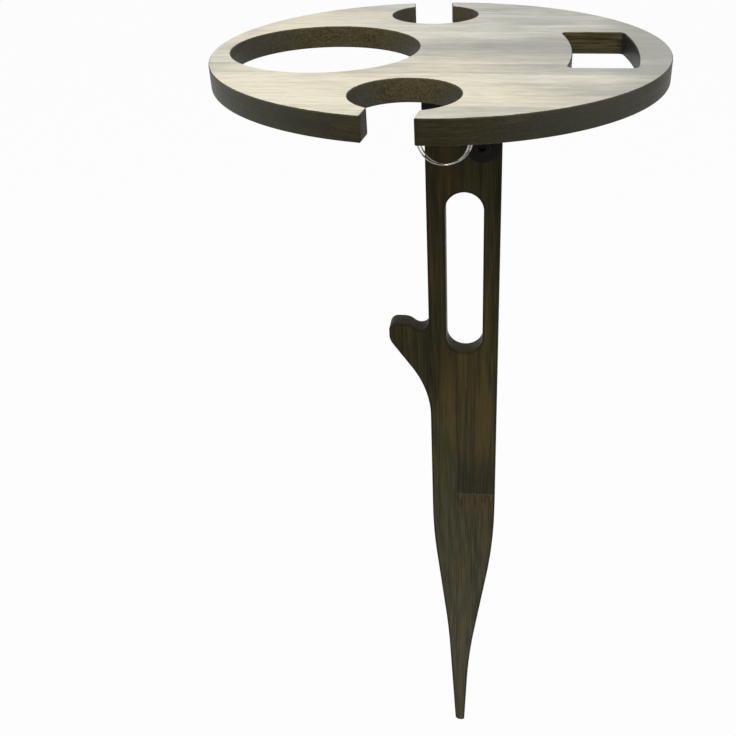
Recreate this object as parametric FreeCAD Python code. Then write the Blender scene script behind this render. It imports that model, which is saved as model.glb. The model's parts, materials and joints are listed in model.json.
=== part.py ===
"""Folding wine table on a ground stake, in millimetres.

Frame: the origin is the stake's point, +Z is up, +X runs to the hand hole in the top and +Y runs away
from the face that carries the pull ring. The top board turns about a bolt that lies along Y.
"""

import FreeCAD
import Part
import math
import os

# Top board
top_diameter = 320.0
top_thickness = 16.0
top_face_height = 729.4
top_centre_x = -12.1
board_edge_round = 1.0

# Cut-outs in the top board, their sizes and places as shares of its diameter
bottle_hole_share = 0.4171875
bottle_offset_share = 0.255
glass_hole_share = 0.215625
glass_reach_share = 0.351875
glass_hole_angle = 96.5
glass_neck_share = 0.0972
neck_corner_round = 1.2
hand_start_share = 0.288125
hand_width_share = 0.14
hand_length_share = 0.31375
hand_inner_radius_share = 0.671875
hand_hole_corner_round = 4.0

# Stake
stake_width = 57.4
stake_thickness = 16.0
stake_centre_x = 4.5
stake_top_gap = 0.4
stake_edge_round = 1.0
stake_top_corner_round = 4.0
grip_slot_width = 29.9
grip_slot_length = 142.9
grip_slot_drop = 89.5
grip_slot_offset = 0.7

# Foot hook on the stake's left edge
hook_reach = 33.2
hook_drop = 116.6
hook_crown_share = 0.657
hook_crown_radius = 13.5
hook_crook_radius = 7.5
hook_nose_round = 6.5
hook_heel_drop = 16.0
hook_heel_round = 14.0
hook_slant = 34.0
hook_blend_radius = 90.0

# Point of the stake
left_shoulder_share = 0.38447
right_shoulder_share = 0.3667
shoulder_radius_share = 2.14
left_waist_share = 0.5207
left_waist_reach = 10.8
left_waist_radius_share = 3.566
right_waist_share = 0.3955
right_waist_reach = 9.6
right_waist_radius_share = 2.875
tip_width = 9.4
tip_shift = 0.3
tip_left_round = 5.0
tip_right_round = 2.5

# Brackets
plate_thickness = 2.5
ear_gap = 1.0
ear_overhang = 1.3
ear_drop = 36.0
ear_corner_round = 6.0
ear_lobe_radius = 12.7
flange_depth = 20.0
bend_radius = 3.0

# Bracket screws
screw_count = 3
screw_inset = 12.0
screw_setback = 10.0
screw_shank_diameter = 4.0
screw_head_diameter = 8.0
screw_head_height = 2.2
screw_length = 12.0
screw_point_length = 3.0
screw_point_share = 0.25
screw_recess_width = 1.2
screw_recess_length = 4.6
screw_recess_depth = 1.4
screw_hole_clearance = 0.25

# Pivot bolt, M8
pivot_x = 18.7
pivot_drop = 51.5
bolt_diameter = 8.0
bolt_head_diameter = 14.0
bolt_head_height = 4.4
bolt_rim_height = 1.2
bolt_socket_width = 5.0
bolt_socket_depth = 2.6
bolt_end_stickout = 2.4
bolt_hole_clearance = 0.2
bolt_end_chamfer = 0.8
washer_diameter = 16.0
washer_thickness = 1.6
nut_width = 13.0
nut_height = 8.0
nut_collar_height = 2.6
nut_collar_diameter = 11.6
bush_wall = 1.5
running_clearance = 0.05
friction_washer_diameter = 24.0
friction_washer_clearance = 0.1

# Lock pin
lock_x = -6.6
lock_drop = 17.7
pin_diameter = 8.0
pin_travel = 20.0
pin_nose_chamfer = 1.2
pin_setback = 0.5
pin_collar_diameter = 13.0
pin_collar_thickness = 2.0
eye_diameter = 9.6
eye_thickness = 4.0
eye_hole_diameter = 4.4
eye_standoff = 4.0
guide_length = 5.0
guide_wall = 3.0
guide_spigot_wall = 1.2
lock_hole_clearance = 0.15
lock_bush_wall = 1.5

# Pull ring, two turns of round wire pressed together
ring_mean_radius = 18.3
ring_wire_diameter = 1.6
ring_turn_share = 0.94

# Limits for picking edges
parallel_tolerance = 0.01
place_tolerance = 0.05
plane_tolerance = 0.001

# Sizes and places that follow from those above
half_turn = math.degrees(math.pi)
top_radius = top_diameter / 2
underside_height = top_face_height - top_thickness
bottle_hole_diameter = bottle_hole_share * top_diameter
bottle_hole_offset = bottle_offset_share * top_diameter
glass_hole_diameter = glass_hole_share * top_diameter
glass_hole_reach = glass_reach_share * top_diameter
glass_neck_width = glass_neck_share * top_diameter
hand_hole_start = hand_start_share * top_diameter
hand_hole_width = hand_width_share * top_diameter
hand_hole_length = hand_length_share * top_diameter
hand_hole_inner_radius = hand_inner_radius_share * top_diameter
grip_slot_top = underside_height - grip_slot_drop
hook_height = grip_slot_top - hook_drop
left_shoulder_height = left_shoulder_share * top_face_height
right_shoulder_height = right_shoulder_share * top_face_height
shoulder_radius = shoulder_radius_share * left_shoulder_height
left_waist_height = left_waist_share * left_shoulder_height
left_waist_radius = left_waist_radius_share * left_shoulder_height
right_waist_height = right_waist_share * right_shoulder_height
right_waist_radius = right_waist_radius_share * right_shoulder_height
stake_left = stake_centre_x - stake_width / 2
stake_right = stake_centre_x + stake_width / 2
hook_left = stake_left - hook_reach
hook_crown_x = stake_left - hook_crown_share * hook_reach
hook_heel_height = hook_height - hook_heel_drop
hook_foot_height = hook_heel_height - hook_reach / math.tan(math.radians(hook_slant))
half_stake = stake_thickness / 2
ear_inner = half_stake + ear_gap
ear_outer = ear_inner + plate_thickness
pivot_height = underside_height - pivot_drop
lock_height = underside_height - lock_drop
ear_left = stake_left - ear_overhang
ear_right = pivot_x + ear_lobe_radius
guide_face = ear_outer + guide_length
eye_centre_y = -(guide_face + pin_collar_thickness + eye_standoff + pin_travel)
ring_turn_step = ring_turn_share * ring_wire_diameter

Y_AXIS = FreeCAD.Vector(0, 1, 0)
Z_AXIS = FreeCAD.Vector(0, 0, 1)


def point(x, y, z):
    """A point or a direction."""
    return FreeCAD.Vector(x, y, z)


def cylinder_y(radius, y_start, y_end, x, z):
    """A cylinder along Y between two stations."""
    return Part.makeCylinder(radius, y_end - y_start, point(x, y_start, z), Y_AXIS)


def arc(start, middle, end):
    """An arc edge through three points."""
    return Part.Arc(start, middle, end).toShape()


def line(start, end):
    """A straight edge."""
    return Part.makeLine(start, end)


def polar(centre, radius, degrees):
    """A point in the XZ plane at an angle from +X towards +Z about a centre."""
    turn = math.radians(degrees)
    return centre + point(radius * math.cos(turn), 0, radius * math.sin(turn))


def rounded_path(corners):
    """Edges of an open path, with each inner corner (point, radius) turned into a tangent arc."""
    edges = []
    last = corners[0][0]
    for before, (corner, radius), after in zip(corners, corners[1:], corners[2:]):
        back = (before[0] - corner).normalize()
        ahead = (after[0] - corner).normalize()
        half = back.getAngle(ahead) / 2
        setback = radius / math.tan(half)
        start = corner + back * setback
        end = corner + ahead * setback
        bisector = (back + ahead).normalize()
        middle = corner + bisector * (radius / math.sin(half) - radius)
        edges.append(line(last, start))
        edges.append(arc(start, middle, end))
        last = end
    edges.append(line(last, corners[-1][0]))
    return edges


def prism(edges, direction):
    """A solid swept from a closed flat outline."""
    return Part.Face(Part.Wire(Part.__sortEdges__(edges))).extrude(direction)


def upright_edges(solid, along, places):
    """Straight edges of a solid that run along an axis and pass near one of the given places."""
    found = []
    for edge in solid.Edges:
        straight = isinstance(edge.Curve, Part.Line)
        if straight and edge.Curve.Direction.cross(along).Length < parallel_tolerance:
            middle = edge.CenterOfMass
            flat = middle - along * middle.dot(along)
            if any((flat - place).Length < place_tolerance for place in places):
                found.append(edge)
    return found


def rim_edges(solid, along, stations):
    """Edges of a solid that lie in one of the planes square to an axis at the given stations."""
    found = []
    for edge in solid.Edges:
        box = edge.BoundBox
        low = point(box.XMin, box.YMin, box.ZMin).dot(along)
        high = point(box.XMax, box.YMax, box.ZMax).dot(along)
        flat = high - low < plane_tolerance
        if flat and any(abs(low - station) < plane_tolerance for station in stations):
            found.append(edge)
    return found


def glass_keyhole(side):
    """Cutter for one glass hole with its radial neck, and the neck's four corner places."""
    turn = side * glass_hole_angle
    radius = glass_hole_diameter / 2
    half_neck = glass_neck_width / 2
    hole = Part.makeCylinder(radius, top_thickness, point(glass_hole_reach, 0, 0))
    neck = Part.makeBox(top_radius, glass_neck_width, top_thickness, point(glass_hole_reach, -half_neck, 0))
    cutter = hole.fuse(neck).removeSplitter()
    throat_x = glass_hole_reach + math.sqrt(radius ** 2 - half_neck ** 2)
    mouth_x = math.sqrt(top_radius ** 2 - half_neck ** 2)
    spin = FreeCAD.Rotation(Z_AXIS, turn)
    places = [spin.multVec(point(x, y, 0)) for x in (throat_x, mouth_x) for y in (-half_neck, half_neck)]
    cutter.rotate(FreeCAD.Vector(), Z_AXIS, turn)
    return cutter, places


def hand_hole():
    """Cutter for the hand hole: two concentric arcs and two straight ends, and its corner places."""
    centre_x = hand_hole_start - hand_hole_inner_radius
    outer_radius = hand_hole_inner_radius + hand_hole_width
    half = hand_hole_length / 2
    inner_x = centre_x + math.sqrt(hand_hole_inner_radius ** 2 - half ** 2)
    outer_x = centre_x + math.sqrt(outer_radius ** 2 - half ** 2)
    corners = [
        point(inner_x, -half, 0),
        point(outer_x, -half, 0),
        point(outer_x, half, 0),
        point(inner_x, half, 0),
    ]
    edges = [
        line(corners[0], corners[1]),
        arc(corners[1], point(centre_x + outer_radius, 0, 0), corners[2]),
        line(corners[2], corners[3]),
        arc(corners[3], point(hand_hole_start, 0, 0), corners[0]),
    ]
    return prism(edges, point(0, 0, top_thickness)), corners


def screw_places():
    """Axis points of the bracket screws on the underside, front row then rear row."""
    first = ear_left + screw_inset
    last = ear_right - screw_inset
    step = (last - first) / (screw_count - 1)
    setback = ear_inner + flange_depth - screw_setback
    stations = [first + step * i for i in range(screw_count)]
    return [point(x, side * setback, underside_height) for side in (-1, 1) for x in stations]


def make_table_top():
    """Round board with its cut-outs, eased edges and pilot holes for the bracket screws."""
    board = Part.makeCylinder(top_radius, top_thickness)
    bottle_centre = point(-bottle_hole_offset, 0, 0)
    bottle_hole = Part.makeCylinder(bottle_hole_diameter / 2, top_thickness, bottle_centre)
    board = board.cut(bottle_hole)
    neck_places = []
    for side in (-1, 1):
        cutter, places = glass_keyhole(side)
        board = board.cut(cutter)
        neck_places += places
    cutter, hand_corners = hand_hole()
    board = board.cut(cutter)
    board = board.makeFillet(neck_corner_round, upright_edges(board, Z_AXIS, neck_places))
    board = board.makeFillet(hand_hole_corner_round, upright_edges(board, Z_AXIS, hand_corners))
    board = board.makeFillet(board_edge_round, rim_edges(board, Z_AXIS, (0.0, top_thickness)))
    board.translate(point(top_centre_x, 0, underside_height))
    for place in screw_places():
        board = board.cut(screw_body(place, 0.0))
    return board


def hook_edges():
    """Crook and crown of the foot hook, with the crook's end on the stake and the crown's highest point."""
    crown = point(hook_crown_x, 0, hook_height - hook_crown_radius)
    crook_x = stake_left - hook_crook_radius
    rise = math.sqrt((hook_crook_radius + hook_crown_radius) ** 2 - (crook_x - crown.x) ** 2)
    crook = point(crook_x, 0, crown.z + rise)
    crook_turn = math.degrees(math.atan2(crown.z - crook.z, crown.x - crook.x))
    crook_end = polar(crook, hook_crook_radius, 0)
    saddle = polar(crook, hook_crook_radius, crook_turn)
    crown_middle = (half_turn + crook_turn + 90) / 2
    crown_top = polar(crown, hook_crown_radius, 90)
    edges = [
        arc(crook_end, polar(crook, hook_crook_radius, crook_turn / 2), saddle),
        arc(saddle, polar(crown, hook_crown_radius, crown_middle), crown_top),
    ]
    return edges, crook_end, crown_top


def stake_outline():
    """Closed outline of the stake in the XZ plane, counted down its right edge and up its left edge."""
    swing = pivot_drop - stake_top_gap
    top_height = pivot_height + swing
    right_rise = math.sqrt(swing ** 2 - (stake_right - pivot_x) ** 2)
    right_top = point(stake_right, 0, pivot_height + right_rise)
    crown = point(pivot_x, 0, top_height)
    crown_turn = math.degrees(math.atan2(right_rise, stake_right - pivot_x))
    pivot = point(pivot_x, 0, pivot_height)
    hook, crook_end, crown_top = hook_edges()
    lower_path = rounded_path([
        (right_top, 0.0),
        (point(stake_right, 0, right_shoulder_height), shoulder_radius),
        (point(right_waist_reach, 0, right_waist_height), right_waist_radius),
        (point(tip_shift + tip_width / 2, 0, 0), tip_right_round),
        (point(tip_shift - tip_width / 2, 0, 0), tip_left_round),
        (point(-left_waist_reach, 0, left_waist_height), left_waist_radius),
        (point(stake_left, 0, left_shoulder_height), shoulder_radius),
        (point(stake_left, 0, hook_foot_height), hook_blend_radius),
        (point(hook_left, 0, hook_heel_height), hook_heel_round),
        (point(hook_left, 0, hook_height), hook_nose_round),
        (crown_top, 0.0),
    ])
    top_path = rounded_path([
        (crook_end, 0.0),
        (point(stake_left, 0, top_height), stake_top_corner_round),
        (crown, 0.0),
    ])
    crown_arc = arc(crown, polar(pivot, swing, (crown_turn + 90) / 2), right_top)
    return lower_path + hook + top_path + [crown_arc]


def make_stake():
    """Flat stake with its grip slot, foot hook, point and the two bushed holes."""
    board = prism(stake_outline(), point(0, stake_thickness, 0))
    slot_x = stake_centre_x + grip_slot_offset
    slot_radius = grip_slot_width / 2
    slot_high = grip_slot_top - slot_radius
    slot_low = grip_slot_top - grip_slot_length + slot_radius
    slot = cylinder_y(slot_radius, 0, stake_thickness, slot_x, slot_high)
    slot = slot.fuse(cylinder_y(slot_radius, 0, stake_thickness, slot_x, slot_low))
    corner = point(slot_x - slot_radius, 0, slot_low)
    middle = Part.makeBox(grip_slot_width, stake_thickness, slot_high - slot_low, corner)
    board = board.cut(slot.fuse(middle).removeSplitter())
    board = board.makeFillet(stake_edge_round, rim_edges(board, Y_AXIS, (0.0, stake_thickness)))
    board.translate(point(0, -half_stake, 0))
    pivot_hole = cylinder_y(pivot_bush_radius(), -half_stake, half_stake, pivot_x, pivot_height)
    lock_hole = cylinder_y(lock_bush_radius(), -half_stake, half_stake, lock_x, lock_height)
    return board.cut(pivot_hole).cut(lock_hole)


def pivot_bush_radius():
    """Outer radius of the pivot bush, which is also its hole in the stake."""
    return bolt_diameter / 2 + running_clearance + bush_wall


def lock_bush_radius():
    """Outer radius of the lock bush, which is also its hole in the stake."""
    return pin_diameter / 2 + lock_hole_clearance + lock_bush_wall


def make_bush(outer_radius, bore_radius, x, z):
    """Plain sleeve that lines a hole in the stake, flush with both faces."""
    sleeve = cylinder_y(outer_radius, -half_stake, half_stake, x, z)
    return sleeve.cut(cylinder_y(bore_radius, -half_stake, half_stake, x, z))


def ear_outline(y):
    """Closed outline of a bracket's ear: a square shoulder for the pin and a round lobe for the bolt."""
    shoulder = underside_height - ear_drop
    lobe_left = pivot_x - ear_lobe_radius
    lobe_start = point(lobe_left, y, pivot_height)
    lobe_end = point(ear_right, y, pivot_height)
    left_side = rounded_path([
        (point(ear_left, y, underside_height), 0.0),
        (point(ear_left, y, shoulder), ear_corner_round),
        (point(lobe_left, y, shoulder), ear_corner_round),
        (lobe_start, 0.0),
    ])
    lobe = arc(lobe_start, point(pivot_x, y, pivot_height - ear_lobe_radius), lobe_end)
    top_right = point(ear_right, y, underside_height)
    top_left = point(ear_left, y, underside_height)
    return left_side + [lobe, line(lobe_end, top_right), line(top_right, top_left)]


def make_bracket(side, pin_hole_radius):
    """Angle bracket: an ear beside the stake and a flange screwed to the underside."""
    inner = side * ear_inner
    ear = prism(ear_outline(inner), point(0, side * plate_thickness, 0))
    flange_width = ear_right - ear_left
    flange_bottom = underside_height - plate_thickness
    flange_y = min(inner, side * (ear_inner + flange_depth))
    corner = point(ear_left, flange_y, flange_bottom)
    flange = Part.makeBox(flange_width, flange_depth, plate_thickness, corner)
    bracket = ear.fuse(flange).removeSplitter()
    bend = [point(0, inner, underside_height)]
    bracket = bracket.makeFillet(bend_radius, upright_edges(bracket, point(1, 0, 0), bend))
    bolt_hole_radius = bolt_diameter / 2 + bolt_hole_clearance
    bolt_hole = cylinder_y(bolt_hole_radius, -ear_outer, ear_outer, pivot_x, pivot_height)
    pin_hole = cylinder_y(pin_hole_radius, -ear_outer, ear_outer, lock_x, lock_height)
    bracket = bracket.cut(bolt_hole).cut(pin_hole)
    for place in screw_places():
        if place.y * side > 0:
            bracket = bracket.cut(screw_body(place, screw_hole_clearance))
    return bracket


def screw_body(place, clearance):
    """Countersunk screw shape with its head flush in the flange, grown by a clearance for its hole."""
    head_z = underside_height - plate_thickness
    head_radius = screw_head_diameter / 2 + clearance
    shank_radius = screw_shank_diameter / 2 + clearance
    head = Part.makeCone(head_radius, shank_radius, screw_head_height, point(place.x, place.y, head_z))
    shank_length = screw_length - screw_head_height - screw_point_length
    shank_start = head_z + screw_head_height
    shank = Part.makeCylinder(shank_radius, shank_length, point(place.x, place.y, shank_start))
    tip_start = point(place.x, place.y, shank_start + shank_length)
    tip = Part.makeCone(shank_radius, shank_radius * screw_point_share, screw_point_length, tip_start)
    return head.fuse(shank).fuse(tip).removeSplitter()


def make_screws():
    """The bracket screws, each with a cross recess in its head."""
    head_z = underside_height - plate_thickness
    screws = []
    for place in screw_places():
        screw = screw_body(place, 0.0)
        arms = (screw_recess_length, screw_recess_width)
        for length, width in (arms, arms[::-1]):
            corner = point(place.x - length / 2, place.y - width / 2, head_z)
            screw = screw.cut(Part.makeBox(length, width, screw_recess_depth, corner))
        screws.append(screw)
    return Part.makeCompound(screws)


def hexagon(width, y, x, z):
    """A hexagonal outline, given its width across flats, in a plane square to Y."""
    sides = 6
    step = 2 * half_turn / sides
    reach = width / 2 / math.cos(math.radians(step / 2))
    corners = [polar(point(x, y, z), reach, step * i) for i in range(sides)]
    return [line(a, b) for a, b in zip(corners, corners[1:] + corners[:1])]


def make_pivot_bolt():
    """Button-head bolt through both ears, the friction washers and the stake's bush."""
    head_start = -ear_outer
    shank_end = ear_outer + washer_thickness + nut_height + bolt_end_stickout
    shank = cylinder_y(bolt_diameter / 2, head_start, shank_end, pivot_x, pivot_height)
    shank = shank.makeChamfer(bolt_end_chamfer, rim_edges(shank, Y_AXIS, (shank_end,)))
    head_face = head_start - bolt_head_height
    head = cylinder_y(bolt_head_diameter / 2, head_face, head_start, pivot_x, pivot_height)
    crown_round = bolt_head_height - bolt_rim_height
    head = head.makeFillet(crown_round, rim_edges(head, Y_AXIS, (head_face,)))
    socket_outline = hexagon(bolt_socket_width, head_face, pivot_x, pivot_height)
    socket = prism(socket_outline, point(0, bolt_socket_depth, 0))
    return head.fuse(shank).removeSplitter().cut(socket)


def make_pivot_washer():
    """Plain washer between the rear ear and the nut."""
    back = ear_outer + washer_thickness
    outer = cylinder_y(washer_diameter / 2, ear_outer, back, pivot_x, pivot_height)
    bore_radius = bolt_diameter / 2 + bolt_hole_clearance
    return outer.cut(cylinder_y(bore_radius, ear_outer, back, pivot_x, pivot_height))


def make_pivot_nut():
    """Lock nut: a hexagon with a round collar that holds the locking insert."""
    seat = ear_outer + washer_thickness
    hexagon_height = nut_height - nut_collar_height
    body = prism(hexagon(nut_width, seat, pivot_x, pivot_height), point(0, hexagon_height, 0))
    collar_radius = nut_collar_diameter / 2
    collar = cylinder_y(collar_radius, seat + hexagon_height, seat + nut_height, pivot_x, pivot_height)
    bore = cylinder_y(bolt_diameter / 2, seat, seat + nut_height, pivot_x, pivot_height)
    return body.fuse(collar).removeSplitter().cut(bore)


def make_friction_washers():
    """Thin washers that sit on the ears and rub on the stake's faces."""
    washers = []
    for side in (-1, 1):
        near = side * (half_stake + friction_washer_clearance)
        start, end = sorted((near, side * ear_inner))
        disc = cylinder_y(friction_washer_diameter / 2, start, end, pivot_x, pivot_height)
        bore_radius = bolt_diameter / 2 + bolt_hole_clearance
        washers.append(disc.cut(cylinder_y(bore_radius, start, end, pivot_x, pivot_height)))
    return Part.makeCompound(washers)


def guide_spigot_radius():
    """Radius of the guide's spigot, which is also its hole in the front ear."""
    return pin_diameter / 2 + running_clearance + guide_spigot_wall


def make_pin_guide():
    """Flanged sleeve in the front ear that carries the lock pin."""
    body_radius = pin_diameter / 2 + running_clearance + guide_wall
    body = cylinder_y(body_radius, -guide_face, -ear_outer, lock_x, lock_height)
    spigot = cylinder_y(guide_spigot_radius(), -ear_outer, -ear_inner, lock_x, lock_height)
    bore = cylinder_y(pin_diameter / 2 + running_clearance, -guide_face, -ear_inner, lock_x, lock_height)
    return body.fuse(spigot).removeSplitter().cut(bore)


def make_lock_pin():
    """Lock pin drawn back clear of the stake, with a stop collar and an eye for the pull ring."""
    nose_y = -ear_inner - pin_setback
    collar_y = -guide_face - pin_travel
    shank = cylinder_y(pin_diameter / 2, collar_y, nose_y, lock_x, lock_height)
    shank = shank.makeChamfer(pin_nose_chamfer, rim_edges(shank, Y_AXIS, (nose_y,)))
    collar_face = collar_y - pin_collar_thickness
    collar = cylinder_y(pin_collar_diameter / 2, collar_face, collar_y, lock_x, lock_height)
    half_eye = eye_thickness / 2
    neck_length = collar_face - eye_centre_y
    neck_corner = point(lock_x - half_eye, eye_centre_y, lock_height - eye_diameter / 2)
    neck = Part.makeBox(eye_thickness, neck_length, eye_diameter, neck_corner)
    eye_start = point(lock_x - half_eye, eye_centre_y, lock_height)
    eye = Part.makeCylinder(eye_diameter / 2, eye_thickness, eye_start, point(1, 0, 0))
    hole = Part.makeCylinder(eye_hole_diameter / 2, eye_thickness, eye_start, point(1, 0, 0))
    return shank.fuse(collar).fuse(neck).fuse(eye).removeSplitter().cut(hole)


def make_pull_ring():
    """Split ring: the outline of two wires pressed side by side, turned about the ring's middle."""
    wire_radius = ring_wire_diameter / 2
    half_step = ring_turn_step / 2
    valley = math.sqrt(wire_radius ** 2 - half_step ** 2)
    centre = point(lock_x, eye_centre_y, lock_height - ring_mean_radius)
    outer = centre + point(ring_mean_radius + valley, 0, 0)
    inner = centre + point(ring_mean_radius - valley, 0, 0)
    rear = centre + point(ring_mean_radius, half_step + wire_radius, 0)
    front = centre + point(ring_mean_radius, -half_step - wire_radius, 0)
    outline = Part.Wire([arc(outer, rear, inner), arc(inner, front, outer)])
    return Part.Face(outline).revolve(centre, Y_AXIS, 2 * half_turn)


def main():
    """Build every piece and write one STEP file for each."""
    os.makedirs("parts", exist_ok=True)
    pivot_bore = bolt_diameter / 2 + running_clearance
    lock_bore = pin_diameter / 2 + lock_hole_clearance
    pieces = {
        "table_top": make_table_top(),
        "stake": make_stake(),
        "front_bracket": make_bracket(-1, guide_spigot_radius()),
        "rear_bracket": make_bracket(1, lock_bore),
        "bracket_screws": make_screws(),
        "pivot_bolt": make_pivot_bolt(),
        "pivot_washer": make_pivot_washer(),
        "pivot_nut": make_pivot_nut(),
        "friction_washers": make_friction_washers(),
        "pivot_bush": make_bush(pivot_bush_radius(), pivot_bore, pivot_x, pivot_height),
        "lock_bush": make_bush(lock_bush_radius(), lock_bore, lock_x, lock_height),
        "pin_guide": make_pin_guide(),
        "lock_pin": make_lock_pin(),
        "pull_ring": make_pull_ring(),
    }
    for name, shape in pieces.items():
        shape.exportStep(f"parts/{name}.step")
        print(f"{name}: {len(shape.Solids)} solid(s), valid {shape.isValid()}, {shape.Volume:.0f} mm3")


main()
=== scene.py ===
"""Dressed model of the folding wine table, in metres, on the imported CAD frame.

The two bamboo boards and the pull ring are new surfaces that stand for their CAD nodes. The steel
pieces keep their CAD shapes and get finishes. Lengths are metres and angles degrees unless a name says
otherwise.
"""

import json
import logging
import math
from dataclasses import dataclass, field
from enum import Enum
from typing import Any, Callable, Sequence

import bpy
import numpy as np
from mathutils import Matrix, Vector
from mathutils.geometry import tessellate_polygon

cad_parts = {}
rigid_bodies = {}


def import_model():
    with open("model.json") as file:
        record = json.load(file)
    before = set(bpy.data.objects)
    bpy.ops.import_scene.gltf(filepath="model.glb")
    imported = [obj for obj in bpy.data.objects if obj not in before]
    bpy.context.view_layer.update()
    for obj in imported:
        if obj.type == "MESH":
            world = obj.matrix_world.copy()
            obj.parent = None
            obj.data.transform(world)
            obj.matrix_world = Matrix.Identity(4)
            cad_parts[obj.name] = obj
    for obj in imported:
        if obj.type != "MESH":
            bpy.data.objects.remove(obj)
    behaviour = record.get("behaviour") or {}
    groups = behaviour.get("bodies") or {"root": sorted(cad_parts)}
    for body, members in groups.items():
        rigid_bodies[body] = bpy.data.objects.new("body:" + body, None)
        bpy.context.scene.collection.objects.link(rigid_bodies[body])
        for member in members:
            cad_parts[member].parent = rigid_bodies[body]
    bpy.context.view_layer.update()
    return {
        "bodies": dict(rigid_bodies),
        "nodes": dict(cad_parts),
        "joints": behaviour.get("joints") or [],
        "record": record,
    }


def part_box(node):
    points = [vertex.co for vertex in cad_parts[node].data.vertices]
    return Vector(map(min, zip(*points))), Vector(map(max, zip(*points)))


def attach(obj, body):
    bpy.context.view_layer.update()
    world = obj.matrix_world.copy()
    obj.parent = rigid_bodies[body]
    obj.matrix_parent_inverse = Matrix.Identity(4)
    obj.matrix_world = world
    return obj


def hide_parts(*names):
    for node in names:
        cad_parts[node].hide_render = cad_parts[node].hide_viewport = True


LOG = logging.getLogger("wine_table")
MM = 0.001
# Points closer than this count as one.
SAME_POINT = 1e-3 * MM
# Attribute that is 0 on the faces of a board and 1 on its edges.
EDGE_ATTRIBUTE = "border"
# Depth of a glue line, in heights of a fibre.
SUNK_LINE = 1.5
WHITE = (1.0, 1.0, 1.0)
Array = np.ndarray
Colour = tuple[float, float, float]
Pair = tuple[float, float]
Triple = tuple[float, float, float]
Socket = bpy.types.NodeSocket


class Body(Enum):
    """Bodies that the new pieces ride on, by their names in the frame."""

    STAKE = "stake"
    TOP = "top"
    RING = "ring"


class Slot(Enum):
    """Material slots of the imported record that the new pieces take."""

    TOP_BOARD = "top_board"
    STAKE_BOARD = "stake_board"
    RING_CHROME = "ring_chrome"


def unit(vector: Array) -> Array:
    """Scale a vector to length one."""
    return vector / np.linalg.norm(vector)


def polar(centre: Array, radius: float, angle: Array | float) -> Array:
    """Points about a centre: centre plus radius times (cos, sin) of each angle in radians."""
    return centre + radius * np.stack((np.cos(angle), np.sin(angle)), axis=-1)


def arc(centre: Array, radius: float, start: float, end: float, step: float) -> Array:
    """Walk an arc at equal angles.

    Args:
        centre: Centre of the arc.
        radius: Radius of the arc.
        start: First angle in radians.
        end: Last angle in radians; less than start walks clockwise.
        step: Longest chord to use.

    Returns:
        Points from the first to the last angle, both included.
    """
    count = max(4, math.ceil(abs(end - start) * radius / step)) + 1
    return polar(centre, radius, np.linspace(start, end, count))


def straight(start: Array, end: Array, step: float) -> Array:
    """Walk a straight line at equal steps: start plus an even share of the way to end.

    Args:
        start: First point.
        end: Last point.
        step: Longest step to use.

    Returns:
        Points from start to end, both included.
    """
    count = max(1, math.ceil(np.linalg.norm(end - start) / step)) + 1
    share = np.linspace(0.0, 1.0, count)[:, None]
    return start * (1.0 - share) + end * share


def corner_arc(before: Array, corner: Array, after: Array, radius: float, step: float) -> Array:
    """Round one corner with an arc that is tangent to both of its sides.

    The arc's centre lies on the corner's bisector at radius / sin(half the corner's angle).

    Args:
        before: A point on the side that leads in.
        corner: The sharp corner.
        after: A point on the side that leads out.
        radius: Radius of the arc.
        step: Longest chord to use.

    Returns:
        Points of the arc.
    """
    back, ahead = unit(before - corner), unit(after - corner)
    half = 0.5 * math.acos(float(np.clip(back @ ahead, -1.0, 1.0)))
    start = corner + back * (radius / math.tan(half))
    centre = corner + unit(back + ahead) * (radius / math.sin(half))
    turn = math.copysign(math.pi - 2.0 * half, back[1] * ahead[0] - back[0] * ahead[1])
    first = math.atan2(start[1] - centre[1], start[0] - centre[0])
    return arc(centre, radius, first, first + turn, step)


def eased_run(corners: Sequence[tuple[Array, float]], step: float) -> Array:
    """Walk straight runs whose inner corners are turned into tangent arcs.

    Args:
        corners: Corner points with their radii; the radii of the first and last are not used.
        step: Longest chord to use.

    Returns:
        Points along the run from the first corner to the last.
    """
    pieces = []
    last = corners[0][0]
    for (before, _), (corner, radius), (after, _) in zip(corners, corners[1:], corners[2:]):
        bend = corner_arc(before, corner, after, radius, step)
        pieces += [straight(last, bend[0], step), bend]
        last = bend[-1]
    pieces.append(straight(last, corners[-1][0], step))
    return np.concatenate(pieces)


def closed(*stretches: Array) -> Array:
    """Join stretches into one closed outline.

    Args:
        stretches: Points of each stretch, in the order in which they are walked.

    Returns:
        Points of the outline, without those that repeat the one before them.
    """
    points = np.concatenate(stretches)
    kept = np.linalg.norm(points - np.roll(points, 1, axis=0), axis=1) > SAME_POINT
    return points[kept]


def eased_profile(
    thickness: float, radius: float, border: float, steps: int = 5
) -> tuple[Array, Array]:
    """Profile of a board's edge from its upper face down to its lower face.

    A flat border, a quarter round, the upright wall, a second quarter round and a second border.

    Args:
        thickness: Thickness of the board.
        radius: Radius of both rounds.
        border: Inset of the border's inner side, more than the radius.
        steps: Number of chords in each round.

    Returns:
        Insets from the outline into the wood, and heights above the board's middle plane.
    """
    angle = np.linspace(0.0, math.pi / 2, steps + 1)
    inset = np.concatenate(([border], radius * (1.0 - np.sin(angle))))
    height = thickness / 2 - np.concatenate(([0.0], radius * (1.0 - np.cos(angle))))
    return np.concatenate((inset, inset[::-1])), np.concatenate((height, -height[::-1]))


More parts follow.
